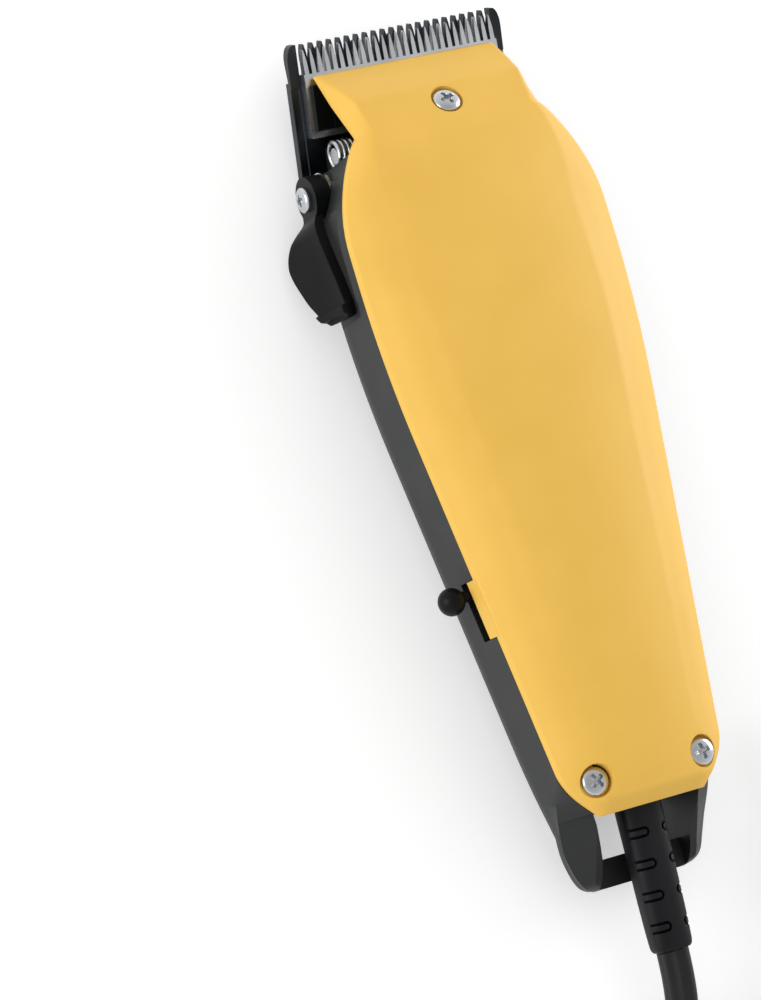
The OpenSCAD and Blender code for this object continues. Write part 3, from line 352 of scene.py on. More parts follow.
# ---------- Cord tie ----------
# A woven nylon hook-and-loop strap, passed round all the turns of the coil, with its free end lapped
# on top.
def tie_rings():
    """A rounded rectangle in the Y-Z plane, its corners quarter circles, swept as a thin strap whose
    ends overlap by lifting slowly by one thickness."""
    inner, outer, low, high, r = coil_turn_r[0] - 3.35, coil_turn_r[1] + 3.3, 0.55, 14.85, 2.2
    corner = np.radians(np.linspace(0, 90, 9))
    cy = [outer - r, inner + r, inner + r, outer - r]
    cz = [high - r, high - r, low + r, low + r]
    loop = np.concatenate([
        np.stack([cy[k] + r * np.cos(corner + k * np.pi / 2), cz[k] + r * np.sin(corner + k * np.pi / 2)], 1)
        for k in range(4)
    ])
    loop = np.concatenate([[[33.2, high]], loop[9:], loop[:9], [[30.4, high + 0.75], [29.2, high + 0.72]]])
    path = evenly(np.stack([loop[:, 0] * 0, loop[:, 0], loop[:, 1]], 1), 0.8)[:, 1:]
    run = np.gradient(path, axis=0)
    run /= np.linalg.norm(run, axis=1, keepdims=True)
    out = np.stack([run[:, 1], -run[:, 0]], 1)
    half_w, half_t = 3.0, 0.33
    edge = np.array([
        [1, -0.6], [1, 0.6], [0.93, 1], [-0.93, 1], [-1, 0.6], [-1, -0.6], [-0.93, -1], [0.93, -1]
    ])
    rings = np.zeros((len(path), 8, 3))
    rings[..., 0] = coil_at[0] + half_w * edge[None, :, 0]
    rings[..., 1:] = path[:, None] + out[:, None] * half_t * edge[None, :, 1:]
    rings[..., 1] += coil_at[1]
    return rings


def wave_scale(spacing):
    """Scale of a wave texture whose bands lie so many mm apart: the texture turns 20 radians for
    each unit of its scaled place."""
    return 2 * np.pi * 1000 / spacing / 20


def woven(name, light, deep, spacing, relief, shader):
    """Weave: two crossed sets of round bands at a spacing in mm along X, dark in the gaps."""
    finish = bare(name)
    place = add(finish, "TexCoord")
    threads = {"Vector": (place, "Object"), "Scale": wave_scale(spacing), "Distortion": 0.4}
    weft = add(finish, "TexWave", threads, bands_direction="X")
    warp = add(finish, "TexWave", threads, bands_direction="DIAGONAL")
    cloth = add(finish, "Mix", {"Factor": 0.5, "A": (weft, "Fac"), "B": (warp, "Fac")})
    fuzz = add(finish, "TexNoise", {"Vector": (place, "Object"), "Scale": 4000, "Detail": 2})
    height = add(finish, "Mix", {"Factor": 0.25, "A": (cloth, "Result"), "B": (fuzz, "Fac")})
    tone = ramp(finish, (height, "Result"), deep, light)
    bump = add(finish, "Bump", {"Height": (height, "Result"), "Strength": 1, "Distance": relief / 1000})
    body = add(finish, "BsdfPrincipled", {
        **shader, "Base Color": (tone, "Color"), "Normal": (bump, "Normal")
    })
    add(finish, "OutputMaterial", {"Surface": (body, "BSDF")})
    return finish


# Woven nylon: near black with a soft sheen, its bands drawn far coarser than real threads
strap_nylon = woven("strap_nylon", "#2C2D2F", "#121314", 3.77, 0.08, {
    "Roughness": 0.75, "Sheen Weight": 0.3, "Sheen Roughness": 0.5
})
tie = blank("tie", *skin(tie_rings()))
shaded(tie)
fit(tie, "clipper", strap_nylon, ["cord_tie"])


# ---------- Bottom housing ----------
# The dark lower shell, injection-moulded ABS with a fine spark-eroded texture. It carries the motor,
# the blades and the lever, and runs on behind as the loop that the clipper hangs from.
part_z = 21.0
front_y, rear_y = 78.3, -67.0
tub_front_y, tub_rear_y = 61.0, -66.0
neck_y, wide_hw, neck_hw = 63.4, 26.8, 19.1
wall, keel_r, draft = 2.0, 11.0, np.radians(3)
pivot_y, pivot_z, shaft_hole_r = 56.6, 9.5, 2.56


def half_width(y):
    """Half width of both shells: a quarter sine to the power 0.8 from the neck out to the widest
    place, less a straight taper to the rear that starts as a parabola."""
    slope = (wide_hw - 16) / (22 - rear_y)
    swell = (wide_hw - neck_hw) * np.sin(np.pi / 2 * np.clip((neck_y - y) / 20.5, 0, 1)) ** 0.8
    taper = np.where(y > 37, 0, np.where(y < 7, slope * (22 - y), slope * (37 - y) ** 2 / 60))
    return neck_hw + swell - taper


def cover_half_width(y):
    """Half width of the cover: the shells' own, with the rear corners cut at a slant that eases in
    as a parabola."""
    cut = np.where(y > -57.5, 0, np.where(y < -64.5, -61 - y, (-57.5 - y) ** 2 / 14))
    return half_width(y) - 4.9 * cut / 6


def mirrored(half):
    """Closed rings from half rings that end on the centre line: the mirror image is added."""
    return np.concatenate([half, half[:, -2::-1] * [-1, 1]], 1)


def across_y(sections, y):
    """Points (x, z) of each section set at its place along Y."""
    rings = np.zeros(sections.shape[:2] + (3,))
    rings[..., 0], rings[..., 1], rings[..., 2] = sections[..., 0], y[:, None], sections[..., 1]
    return rings


def tub_section(y, inset):
    """Half section of the tub: drafted wall, quarter-round lower edge and flat floor; the floor
    rises to the rear as a parabola, and the rear corners are bevelled."""
    rim = np.minimum(half_width(y), cover_half_width(y) + 0.2)
    a = rim - inset if inset else half_width(y)
    r = keel_r - inset
    floor = 1.4 * np.clip((-50 - y) / 16, 0, 1) ** 2 + inset
    b = a - (part_z - keel_r) * np.tan(draft)
    bevel = 6 * np.clip((-57.5 - y) / 8.5, 0, 1)
    turn = np.radians(np.linspace(0, 90, 17))[None, :]
    x = np.concatenate([
        (a if inset else rim)[:, None], a[:, None], (b - r)[:, None] + r * np.cos(turn), 0 * a[:, None]
    ], 1)
    top = part_z + (6 if inset else 0)
    z = np.concatenate([
        np.full((len(y), 1), top), (part_z - 0.6 - bevel)[:, None], floor[:, None] + r - r * np.sin(turn),
        floor[:, None]
    ], 1)
    return np.stack([x, z], -1)


def tub_skin(inset):
    """The tub's outside, or its inside, which runs out through the open front."""
    y = np.unique(np.concatenate([
        np.linspace(tub_rear_y, -58, 12), np.linspace(-58, 40, 44), np.linspace(40, tub_front_y, 24)
    ]))
    if inset:
        y[0], y[-1] = tub_rear_y + inset, tub_front_y + 1
        y = np.sort(y)
    return skin(across_y(mirrored(tub_section(y, inset)), y))


loop_rear_y = rear_y - 12.6


def loop_skin():
    """The hanging loop before its window: the tub's form carried on, its top falling to the rear."""
    t = np.linspace(-0.05, 1, 34)
    y = tub_rear_y - t * (tub_rear_y - loop_rear_y)
    out = half_width(y) - through(t, [
        [-0.05, 0.3], [0, 0.02], [0.35, 0.3], [0.65, 1], [0.86, 1.9], [0.96, 3.2], [1, 5]
    ])
    top = part_z - through(t, [
        [-0.05, 0.7], [0, 1], [0.35, 4], [0.65, 7], [0.86, 9], [0.96, 10.6], [1, 11.6]
    ])
    low = 1.4 + through(t, [[-0.05, 0], [0, 0], [0.4, 1.3], [0.86, 3], [1, 4]])
    side = top - through(t, [[-0.05, 5.6], [0, 5.6], [0.35, 5.4], [0.65, 3.8], [1, 1]])
    r = np.minimum(keel_r, side - low - 0.4) * through(t, [
        [-0.05, 1], [0, 1], [0.35, 0.94], [0.65, 0.8], [1, 0.5]
    ])
    turn = np.radians(np.linspace(0, 90, 13))[None, :]
    x = np.concatenate([
        np.minimum(10.8, out - 1.5)[:, None], out[:, None],
        (out - 0.5 - r)[:, None] + r[:, None] * np.cos(turn), 0 * out[:, None]
    ], 1)
    z = np.concatenate([
        top[:, None], side[:, None], (low + r)[:, None] - r[:, None] * np.sin(turn), low[:, None]
    ], 1)
    return skin(across_y(mirrored(np.stack([x, z], -1)), y))


def block(x, y, z):
    """Points and faces of a box, a tool for cutting and joining."""
    points = np.array([[x[i], y[j], z[k]] for i in (0, 1) for j in (0, 1) for k in (0, 1)], float)
    return points, [[0, 1, 3, 2], [4, 6, 7, 5], [0, 4, 5, 1], [2, 3, 7, 6], [0, 2, 6, 4], [1, 5, 7, 3]]


def bar(start, end, radius, count=48):
    """Points and faces of a round bar between two points."""
    start, end = np.array(start, float), np.array(end, float)
    run = (end - start) / np.linalg.norm(end - start)
    side = np.cross(run, [0, 0, 1] if abs(run[2]) < 0.9 else [1, 0, 0])
    side /= np.linalg.norm(side)
    turn = np.linspace(0, 2 * np.pi, count, endpoint=False)[:, None]
    ring = radius * (np.cos(turn) * side + np.sin(turn) * np.cross(run, side))
    return skin(np.stack([start + ring, end + ring]))


def tilted(shape, degrees, at, axis=0):
    """A shape's points turned about X (axis 0) or Z (axis 2), then moved."""
    c, s = np.cos(np.radians(degrees)), np.sin(np.radians(degrees))
    turn = np.array([[1, 0, 0], [0, c, -s], [0, s, c]] if axis == 0 else [[c, -s, 0], [s, c, 0], [0, 0, 1]])
    return shape[0] @ turn.T + np.array(at, float), shape[1]


def in_blades(shape):
    """Blade frame: Z square to the blades, -Y from the tips to the heel."""
    return tilted(shape, 20.5, [0, 85, 11.9])


def in_switch(shape):
    """Switch frame: X inward from the left wall, Y along it."""
    return tilted(shape, 6.919, [-half_width(np.array(-25.4)), -25.4, part_z], 2)


def in_relief(shape):
    """Strain relief frame: -Y runs along the relief."""
    return tilted(shape, 6.7, [0, tub_rear_y, 15.5])


def baked(piece):
    """The piece's mesh with its modifiers worked in."""
    mesh = bpy.data.meshes.new_from_object(piece.evaluated_get(bpy.context.evaluated_depsgraph_get()))
    piece.modifiers.clear()
    piece.data = mesh


def worked(piece, operation, *shapes):
    """Cuts closed shapes out of the piece (DIFFERENCE) or joins them to it (UNION), one by one."""
    for shape in shapes:
        tool = blank("tool", *shape)
        cut = piece.modifiers.new("cut", "BOOLEAN")
        cut.operation, cut.solver, cut.object = operation, "MANIFOLD", tool
        baked(piece)
        bpy.data.objects.remove(tool)


def softened(piece, width, angle=32):
    """Rounds the edges sharper than the angle over a width in mm, as a mould or a tumbler leaves
    them, and weights the normals so that flat faces stay flat."""
    edge = piece.modifiers.new("edge", "BEVEL")
    edge.width, edge.segments, edge.limit_method = width / 1000, 2, "ANGLE"
    edge.angle_limit, edge.miter_outer = np.radians(angle), "MITER_ARC"
    baked(piece)
    shaded(piece, 50)
    even = piece.modifiers.new("even", "WEIGHTED_NORMAL")
    even.keep_sharp = True
    baked(piece)


housing = blank("housing", *tub_skin(0))
worked(housing, "DIFFERENCE", tub_skin(wall))
window_hw = half_width(np.array(rear_y)) - 4.7
bar_hw = window_hw - 1.9
window = np.array([
    [-window_hw, tub_rear_y], [-bar_hw, loop_rear_y + 5.2],
    [bar_hw, loop_rear_y + 5.2], [window_hw, tub_rear_y]
])
worked(
    housing, "UNION", loop_skin(), block([-11, 11], [56.5, 65.6], [15.8, 19.6]),
    block([-19.3, 19.3], [57.5, 60.8], [15.8, 19.6]),
    in_blades(block([-17.4, 17.4], [-27.2, -20], [0, 4])),
    in_blades(block([-17.6, 17.6], [-29.4, -24.6], [0, 4])),
    in_blades(block([8, 10.6], [-24.6, -18], [5, 13])), in_blades(block([-10.6, -8], [-24.6, -18], [5, 13])),
    bar([-26, pivot_y, pivot_z], [-19.6, pivot_y, pivot_z], 4.2)
)
worked(
    housing, "DIFFERENCE",
    skin(np.stack([np.column_stack([window, np.full(4, -1)]), np.column_stack([window, np.full(4, 30)])])),
    block([-bar_hw, bar_hw], [loop_rear_y - 1, tub_rear_y - 1], [9.4, 30]),
    in_blades(block([-40, 40], [-27.8, 40], [-20, 0])), in_blades(block([-3.6, 3.6], [-31, 0], [0.6, 5.4])),
    *[in_blades(block([s * 17.45 - 2.7, s * 17.45 + 2.7], [-25.67, 0], [4.4, 11.2])) for s in (-1, 1)],
    *[in_blades(block([s * 9.3 - 2, s * 9.3 + 2], [-23.93, -19.01], [6.24, 9.36])) for s in (-1, 1)],
    block([-40, -25.2], [31.8, 64.6], [-5, 18]),
    bar([-40, pivot_y, pivot_z], [-22.4, pivot_y, pivot_z], 4.8),
    bar([-40, pivot_y, pivot_z], [-10, pivot_y, pivot_z], shaft_hole_r),
    in_switch(block([-3, 5.3], [-5.6, 5.6], [-5.85, 5])),
    bar([40, 47.5, 13], [24.9, 47.5, 13], 2.85),
    in_relief(skin(across_y(oval([4.4, 4.4], [3.4, 3.4], [2.8, 2.8]), np.array([10.0, -30.0]))))
)
softened(housing, 0.35)
# Spark-eroded ABS: black, which looks grey where it mirrors a pale surface; grain about 0.3 mm
housing_abs = moulded("housing_abs", "#1C1F1E", "#181A19", 0.3, 0.02, {
    "Roughness": 0.48, "IOR": 1.5, "Specular IOR Level": 0.34
})
fit(housing, "clipper", housing_abs, ["bottom_housing"])


# ---------- Strain relief ----------
# A soft moulded sleeve gripped in the rear wall. Slits bent round small tongues let it bend: four
# long ones on the left, and four short ones at the right edge.
def relief_rings():
    """Rounded oval sections from the collar inside the wall to the rear end, each slightly slimmer."""
    y = np.concatenate([[4.8, 4.8, 2.9, 2.9], np.linspace(2.8, -26.6, 40), [-27.2, -27.55, -27.7, -27.7]])
    collar = np.where(y > 2.85, 1.2, 0)
    slim = through(y, [[-27.7, 0.9], [-27.4, 0.62], [-26.6, 0.42], [-10, 0.12], [2.8, 0], [4.8, 0]])
    half_w, half_t = 4.3 + collar - slim, 3.3 + collar - slim * 0.8
    half_w[0] = half_t[0] = half_w[-1] = half_t[-1] = 0
    return skin(across_y(oval(half_w, half_t, np.full(len(y), 2.9)), y), ends="open")


def tongue_slot(y, end_x, low):
    """A slit bent round a tongue: two half circles about the tongue's end, joined by straight sides
    that run out past the sleeve's edge, cut from the height low upwards."""
    side = np.sign(end_x)
    turn = np.radians(np.linspace(90, -90, 13))
    outer = np.stack([end_x - side * 1.0 * np.cos(turn), y + 1.0 * np.sin(turn)], 1)
    inner = np.stack([end_x - side * 0.48 * np.cos(turn[::-1]), y + 0.48 * np.sin(turn[::-1])], 1)
    far = side * 9
    flat = np.concatenate([[[far, y + 1]], outer, [[far, y - 1], [far, y - 0.48]], inner, [[far, y + 0.48]]])
    return skin(np.stack([np.column_stack([flat, np.full(len(flat), z)]) for z in (low, 9)]))


relief = blank("relief", *in_relief(relief_rings()))
slot_ys = [-23.1 + k * 5.9 for k in range(4)]
worked(
    relief, "DIFFERENCE", *[in_relief(tongue_slot(y, -1.5, 1.3)) for y in slot_ys],
    *[in_relief(tongue_slot(y, 3.2, 1.1)) for y in slot_ys]
)
softened(relief, 0.12)
# Thermoplastic elastomer: black, duller than the flex, with a faint skin texture
relief_tpe = moulded("relief_tpe", "#0F1014", "#0B0C0F", 0.4, 0.02, {
    "Roughness": 0.5, "IOR": 1.48, "Specular IOR Level": 0.24
})
fit(relief, "clipper", relief_tpe, ["strain_relief"])


# ---------- Top cover ----------
# The yellow upper shell, moulded in ABS with a satin gloss. A flat-crowned top panel runs from the
# nose to the rear, with a bevel along each side; three screws hold it down in round pockets.
def softly(y, knots, reach):
    """Straight lines through the knots, averaged over a window that reaches so far each way."""
    at, value = np.array(knots, float).T
    spread = np.linspace(-1, 1, 13)[:, None]
    weight = (1 - spread ** 2) ** 1.5
    return (weight * np.interp(y[None] + spread * reach[None], at, value)).sum(0) / weight.sum()


nose_l = front_y - neck_y


def crown_height(y):
    """Top of the cover along its centre line; the breaks at the nose stay crisper than the rest."""
    reach = np.interp(y, [-67, -62, -50, 40, 56, 66, 70, 78], [0.2, 1.5, 8, 8, 3, 1.2, 1.2, 0.5])
    return part_z + softly(y, [
        [-70, -0.9], [-67, 1.6], [-64.5, 4.4], [-61, 5.4], [-50, 7], [-30, 8.7], [0, 9.6],
        [25, 9.4], [52, 7.2], [60, 5.8], [neck_y, 4.5], [front_y - nose_l * 0.53, 1.5],
        [front_y - nose_l * 0.24, -3.4], [front_y - nose_l * 0.09, -6.4], [front_y, -8.1],
        [front_y + 2, -10.3]
    ], reach)


def lower_edge(y):
    """Lower edge of the cover: on the parting line, then down along the nose."""
    return part_z + softly(y, [
        [-70, 0], [neck_y, 0], [front_y - nose_l * 0.44, -5.6], [front_y, -9.1], [front_y + 2, -9.9]
    ], np.full(len(y), 0.8))


def eased(corners, reach, count=7):
    """Rings of corners in which each inner corner is turned into a short parabola that starts so
    far, in mm, before the corner and ends as far after it, within 0.45 of each side."""
    parts = [corners[:, :1]]
    t = np.linspace(0, 1, count)[None, :, None]
    for k in range(1, corners.shape[1] - 1):
        here = corners[:, k:k + 1]
        back, on = corners[:, k - 1:k] - here, corners[:, k + 1:k + 2] - here
        back_l, on_l = (np.linalg.norm(v, axis=2, keepdims=True) + 1e-9 for v in (back, on))
        start = here + back / back_l * np.minimum(reach[k], 0.45 * back_l)
        end = here + on / on_l * np.minimum(reach[k], 0.45 * on_l)
        parts.append((1 - t) ** 2 * start + 2 * t * (1 - t) * here + t ** 2 * end)
    return np.concatenate(parts + [corners[:, -1:]], 1)


def cover_section(y, inset):
    """Half section: short upright lip, slightly bulged bevel, crease, and a top panel whose height
    falls from the crown as the square of the distance from the centre line."""
    fine = np.full(len(y), 1.5)
    a = cover_half_width(y) - inset
    top = crown_height(y) - inset
    drop = softly(y, [[-67, 0.5], [-61, 1.5], [-40, 2.2], [52, 2.2], [neck_y, 1], [front_y, 0.1]], fine)
    shoulder = crown_height(y) - drop - inset
    c = cover_half_width(y) - softly(y, [
        [-67, 1.6], [-61, 5.2], [-50, 6.8], [0, 9], [45, 8.8], [neck_y, 2.4], [front_y, 0.8]
    ], fine) - inset * 0.6
    edge = lower_edge(y)
    lip = np.minimum(edge + 1.3, edge + (crown_height(y) - drop - edge) * 0.4)
    low = edge
    if inset:
        low = np.minimum(edge, top) - 12
        lip = np.minimum(lip, shoulder - 0.3)
    share = np.array([0.93, 0.8, 0.65, 0.5, 0.35, 0.18, 0])[None, :]
    panel_x = c[:, None] * share
    panel_z = shoulder[:, None] + (top - shoulder)[:, None] * (1 - share ** 2)
    bulge = 0 if inset else 0.08
    x = np.concatenate([np.stack([a, a, (a + c) / 2 + (a - c) * 0.06, c], 1), panel_x], 1)
    flank_z = np.stack([low, lip, (lip + shoulder) / 2 + (shoulder - lip) * bulge, shoulder], 1)
    z = np.concatenate([flank_z, panel_z], 1)
    return eased(np.stack([x, z], -1), [0, 0.5, 3, 0.9] + [0.8] * 8)


def cover_skin(inset):
    """The cover's outside, or its inside, which leaves the rear wall standing."""
    y = np.unique(np.concatenate([
        np.linspace(rear_y, -58, 26), np.linspace(-58, 48, 58), np.linspace(48, front_y, 76)
    ]))
    if inset:
        y = y[y >= rear_y + inset]
    return skin(across_y(mirrored(cover_section(y, inset)), y))


def in_front_screw(shape):
    """Front screw frame: Z square to the nose."""
    return tilted(shape, -29, [0, 67, part_z + 3.168])


def lathe(profile, count=64):
    """Rings round Z of a (radius, height) profile."""
    turn = np.linspace(0, 2 * np.pi, count, endpoint=False)[None, :]
    r, h = np.array(profile, float).T[:, :, None]
    return np.stack([r * np.cos(turn), r * np.sin(turn), h + 0 * turn], -1)


cover = blank("cover", *cover_skin(0))
worked(cover, "DIFFERENCE", cover_skin(wall))
worked(cover, "UNION", in_switch(block([-0.03, 1.7], [-5.5, 5.5], [-2.75, 1.05])))
pocket = skin(lathe([[3.05, 0], [3.05, 16]]))
rear_seat, front_seat = np.array([11.2, -60.7, part_z + 2.2]), np.array([0, 0, -1.3])
worked(
    cover, "DIFFERENCE", *[(pocket[0] + rear_seat * [s, 1, 1], pocket[1]) for s in (-1, 1)],
    in_front_screw((pocket[0] + front_seat, pocket[1]))
)
softened(cover, 0.28, 40)
# Satin ABS: a warm yellow under a soft gloss, with the faint orange peel of a polished mould
cover_abs = moulded("cover_abs", "#F0C058", "#ECBC53", 1.6, 0.012, {
    "Roughness": 0.5, "IOR": 1.52, "Specular IOR Level": 0.26
})
fit(cover, "clipper", cover_abs, ["top_cover"])


# ---------- Cover screws ----------------------------
# Steel screws that hold the cover down, with bright nickel-plated pan heads and a cross recess. The
# heads are sunk in moulded seats.
def cross_head(radius, height, arm=1.4, half=0.36, depth=1.2):
    """Polar grid: a dome that falls as an ellipse towards its rim; two crossed slots sink into it,
    deepest at the middle, and a small hollow joins them there."""
    share = np.concatenate([np.linspace(0, 0.62, 52), np.linspace(0.64, 1, 18)])
    turn = np.linspace(0, 2 * np.pi, 120, endpoint=False)
    r = radius * share[:, None]
    x, y = r * np.cos(turn), r * np.sin(turn)
    dome = height * (0.42 + 0.58 * np.sqrt(1 - 0.998 * share[:, None] ** 2.4))
    cut = depth * 0.9 * step((0.62 - r) / 0.24 + 0.5) + 0 * x
    for u, v in ((x, y), (y, x)):
        inside = step((arm - np.abs(u)) / 0.22 + 0.5) * step((half - np.abs(v)) / 0.12 + 0.5)
        cut = np.maximum(cut, inside * depth * (1 - 0.35 * np.abs(u) / arm))
    top = np.stack([x, y, dome - cut], -1)
    wall = lathe([[radius, height * 0.35], [radius * 0.985, 0], [0, 0]], 120)
    return skin(np.concatenate([top, wall]), ends="open")


def spun(shape, degrees):
    """The shape turned about its own Z."""
    return tilted(shape, degrees, [0, 0, 0], 2)


# Nickel-chrome plate: neutral bright metal, slightly smeared by tumbling
screw_plate = metal("screw_plate", "#CDD0D3", "#BABDC1", 0.5, 0.006, (1, 1, 1), {"Roughness": 0.2})
front_head = spun(cross_head(2.65, 1.6), 20)
front_screw = blank("front_screw", *in_front_screw((front_head[0] + front_seat, front_head[1])))
shaded(front_screw, 50)
fit(front_screw, "clipper", screw_plate, ["front_cover_screw"])
rear_heads = [spun(cross_head(2.65, 1.6), angle) for angle in (35, 10)]
rear_screws = [
    blank(f"rear_screw_{side}", head[0] + rear_seat * [s, 1, 1], head[1])
    for side, s, head in (("left", -1, rear_heads[0]), ("right", 1, rear_heads[1]))
]
for screw in rear_screws:
    shaded(screw, 50)
    fit(screw, "clipper", screw_plate, ["rear_cover_screws"])


# ---------- Fixed blade ----------
# Stamped carbon steel, hardened and darkened, its face ground flat. A comb of pointed teeth stands
# between two rounded ears, and the underside is ground thin towards the tips.
def tooth(x, root, tip, base_w, tip_w):
    """Outline of one tooth from left to right: straight flanks, then a tapered, blunted point."""
    half = [[base_w / 2, root], [base_w * 0.43, tip - 2.3], [base_w * 0.3, tip - 1.3], [tip_w / 2, tip - 0.3]]
    return [[x - w, y] for w, y in half] + [[x, tip]] + [[x + w, y] for w, y in half[::-1]]


def plate(outline, low, high):
    """A flat outline (x, y) as a plate between two heights."""
    p = np.array(outline, float)
    return skin(np.stack([np.column_stack([p, np.full(len(p), z)]) for z in (low, high)]))


def fixed_blade_outline():
    """Right ear, teeth from right to left, left ear, heel; the ears' corners are quarter ovals."""
    half, inner = 22.7, 20.6
    turn = np.radians(np.linspace(0, 90, 7))
    ear = np.stack([half - 1.5 + 1.5 * np.cos(turn), -3.4 + 3.4 * np.sin(turn)], 1).tolist()
    comb = [p for i in range(10, -11, -1) for p in tooth(i * 1.9, -6, -0.1, 1.15, 0.22)[::-1]]
    left = [[-x, y] for x, y in ear[::-1]]
    return (
        [[half, -26.7], *ear, [inner, 0], [inner, -5.6], [inner - 0.4, -6], *comb,
         [-inner + 0.4, -6], [-inner, -5.6], [-inner, 0], *left, [-half, -26.7], [-half + 0.8, -27.5],
         [half - 0.8, -27.5]]
    )


blade = blank("blade", *in_blades(plate(fixed_blade_outline(), -2, 0)))
worked(
    blade, "DIFFERENCE",
    in_blades(tilted(block([-30, 30], [-7, 5], [-6.1, -0.1]), -9, [0, 0, -2])),
    *[in_blades(block([s * 22.5 - 1.4, s * 22.5 + 1.4], [-29, -8.2], [-0.25, 1])) for s in (-1, 1)],
    *[in_blades(bar([s * 9, -22.4, -5], [s * 9, -22.4, 3], 1.6)) for s in (-1, 1)]
)
softened(blade, 0.08)
# Black-finished carbon steel: dark neutral metal whose grinding lines run across the teeth's width
blade_steel = metal("blade_steel", "#3E4145", "#303336", 0.25, 0.003, (0.06, 1, 1), {"Roughness": 0.34})
fit(blade, "clipper", blade_steel, ["fixed_blade"])


# ---------- Moving blade ----------
# The narrower cutter, of bright ground steel. The spring presses it on the fixed blade, and the
# motor moves it from side to side.
def moving_blade_outline():
    """Comb of 27 teeth between plain flanks."""
    half = 20.5
    comb = [p for i in range(13, -14, -1) for p in tooth(i * 1.52, -5.6, -1, 0.9, 0.24)[::-1]]
    return [[half, -17.5], [half, -5.6], *comb, [-half, -5.6], [-half, -17.5]]


cutter = blank("cutter_blade", *in_blades(plate(moving_blade_outline(), 0.03, 1.83)))
worked(cutter, "UNION", in_blades(block([-20.5, 20.5], [-17.5, -16.4], [1.7, 2.08])))
worked(cutter, "DIFFERENCE", in_blades(tilted(block([-30, 30], [0, 12], [0, 6]), -9, [0, -7, 1.83])))
softened(cutter, 0.06)
# Ground and polished carbon steel: light silver, the lines running across the blade
cutter_steel = metal("cutter_steel", "#DADDE0", "#C6C9CC", 0.22, 0.002, (0.06, 1, 1), {"Roughness": 0.3})
fit(cutter, "cutter", cutter_steel, ["moving_blade"])
paint(screw_plate, "blade_screws")


# ---------- Tension spring and rod ----------
# A double coil of music wire, wound round a plain steel rod. Its middle bow presses the cutter
# down.
def wire(path, radius, reference, sides=12):
    """Round wire along a path: rings square to it, set out from a reference direction."""
    run = np.gradient(path, axis=0)
    run /= np.linalg.norm(run, axis=1, keepdims=True)
    side = np.cross(run, np.array(reference, float))
    side /= np.linalg.norm(side, axis=1, keepdims=True)
    up = np.cross(run, side)
    turn = np.linspace(0, 2 * np.pi, sides, endpoint=False)[None, :, None]
    return skin(path[:, None] + radius * (np.cos(turn) * side[:, None] + np.sin(turn) * up[:, None]))


def spring_path():
    """Left coil of four turns from its outer end, leg to the middle, and the same mirrored."""
    t = np.linspace(0, 4, 161)
    rod = np.array([0, -20.57, 7.8])
    coil = rod + np.stack([
        -19.6 + 4.2 * t / 4, 2.6 * np.cos(np.pi / 2 - 2 * np.pi * t), 2.6 * np.sin(np.pi / 2 - 2 * np.pi * t)
    ], 1)
    leg = np.array([
        coil[-1], rod + [-14.6, 2.6, 1.9], [-7.6, -13, 6.2], [-6, -11.6, 5.7], [0, -11.6, 5.7]
    ])
    left = np.concatenate([coil[:-1], evenly(leg, 0.4)])
    return np.concatenate([left, (left * [-1, 1, 1])[-2::-1]])


# Music wire: cold-drawn, bright and hard, with fine marks
music_wire = metal("music_wire", "#C9CCCE", "#AFB3B6", 0.3, 0.004, (1, 1, 1), {"Roughness": 0.24})
spring = blank("spring", *in_blades(wire(spring_path(), 0.5, (0.2, 0.1, 1))))
shaded(spring, 60)
fit(spring, "carriage", music_wire, ["tension_spring"])
paint(music_wire, "spring_rod", "left_arm_spring", "right_arm_spring", "leaf_spring")


# ---------- Taper lever ----------
# A moulded nylon thumb lever on the cam's shaft: a round hub, a slim neck and a flared paddle with a
# raised rib across its end.
def lever_rings():
    """Sections across the arm at a share t of its length: an upright web whose lower edge flares
    outwards; the rib stands out near the end."""
    t = np.concatenate([
        [0.0, 0.0], np.linspace(0.01, 0.86, 52), np.linspace(0.87, 0.985, 26), [0.993, 0.998, 1, 1]
    ])
    top = pivot_z + through(t, [[0, 3], [0.25, 2], [0.5, 3.2], [0.75, 4.8], [0.95, 5.6], [1, 5]])
    h = through(t, [
        [0, 6], [0.12, 6], [0.25, 7.49], [0.38, 9.12], [0.5, 9.6], [0.72, 9.31], [0.88, 8.26], [0.95, 7.3],
        [1, 5.28]
    ])
    rib = 0.8 * step((t - 0.885) / 0.02) * (1 - step((t - 0.955) / 0.02))
    out = -26.4 - through(t, [[0, 0], [0.14, 0], [0.22, 0.6], [0.5, 0.8], [1, 1]])
    flare = 3.6 * through(t, [[0, 0], [0.15, 0], [0.3, 0.65], [0.5, 1], [0.75, 0.8], [1, 0.4]])
    thick = 1.71 - 0.9 * step((t - 0.985) / 0.02)
    share = np.linspace(0, 1, 12)[None, :]
    drop = h[:, None] * share
    lean = flare[:, None] * share ** 1.35
    inner_x = (out + thick)[:, None] - lean
    outer_x = (out - rib)[:, None] - lean
    z = top[:, None] - drop
    low_in, low_out = inner_x[:, -1], outer_x[:, -1]
    round_low = np.stack([low_in - thick * 0.2, (low_in + low_out) / 2, low_out + thick * 0.2], 1)
    x = np.concatenate([inner_x, round_low, outer_x[:, ::-1]], 1)
    z = np.concatenate([z, z[:, -1:] - [0.25, 0.35, 0.25], z[:, ::-1] - [[0] * 11 + [0.3]]], 1)
    shut = (np.arange(len(t)) == 0) | (np.arange(len(t)) == len(t) - 1)
    x = np.where(shut[:, None], x.mean(1, keepdims=True), x)
    z = np.where(shut[:, None], z.mean(1, keepdims=True), z)
    y = pivot_y - t * 23.8
    return skin(np.stack([x, y[:, None] + 0 * x, z], -1), ends="open")


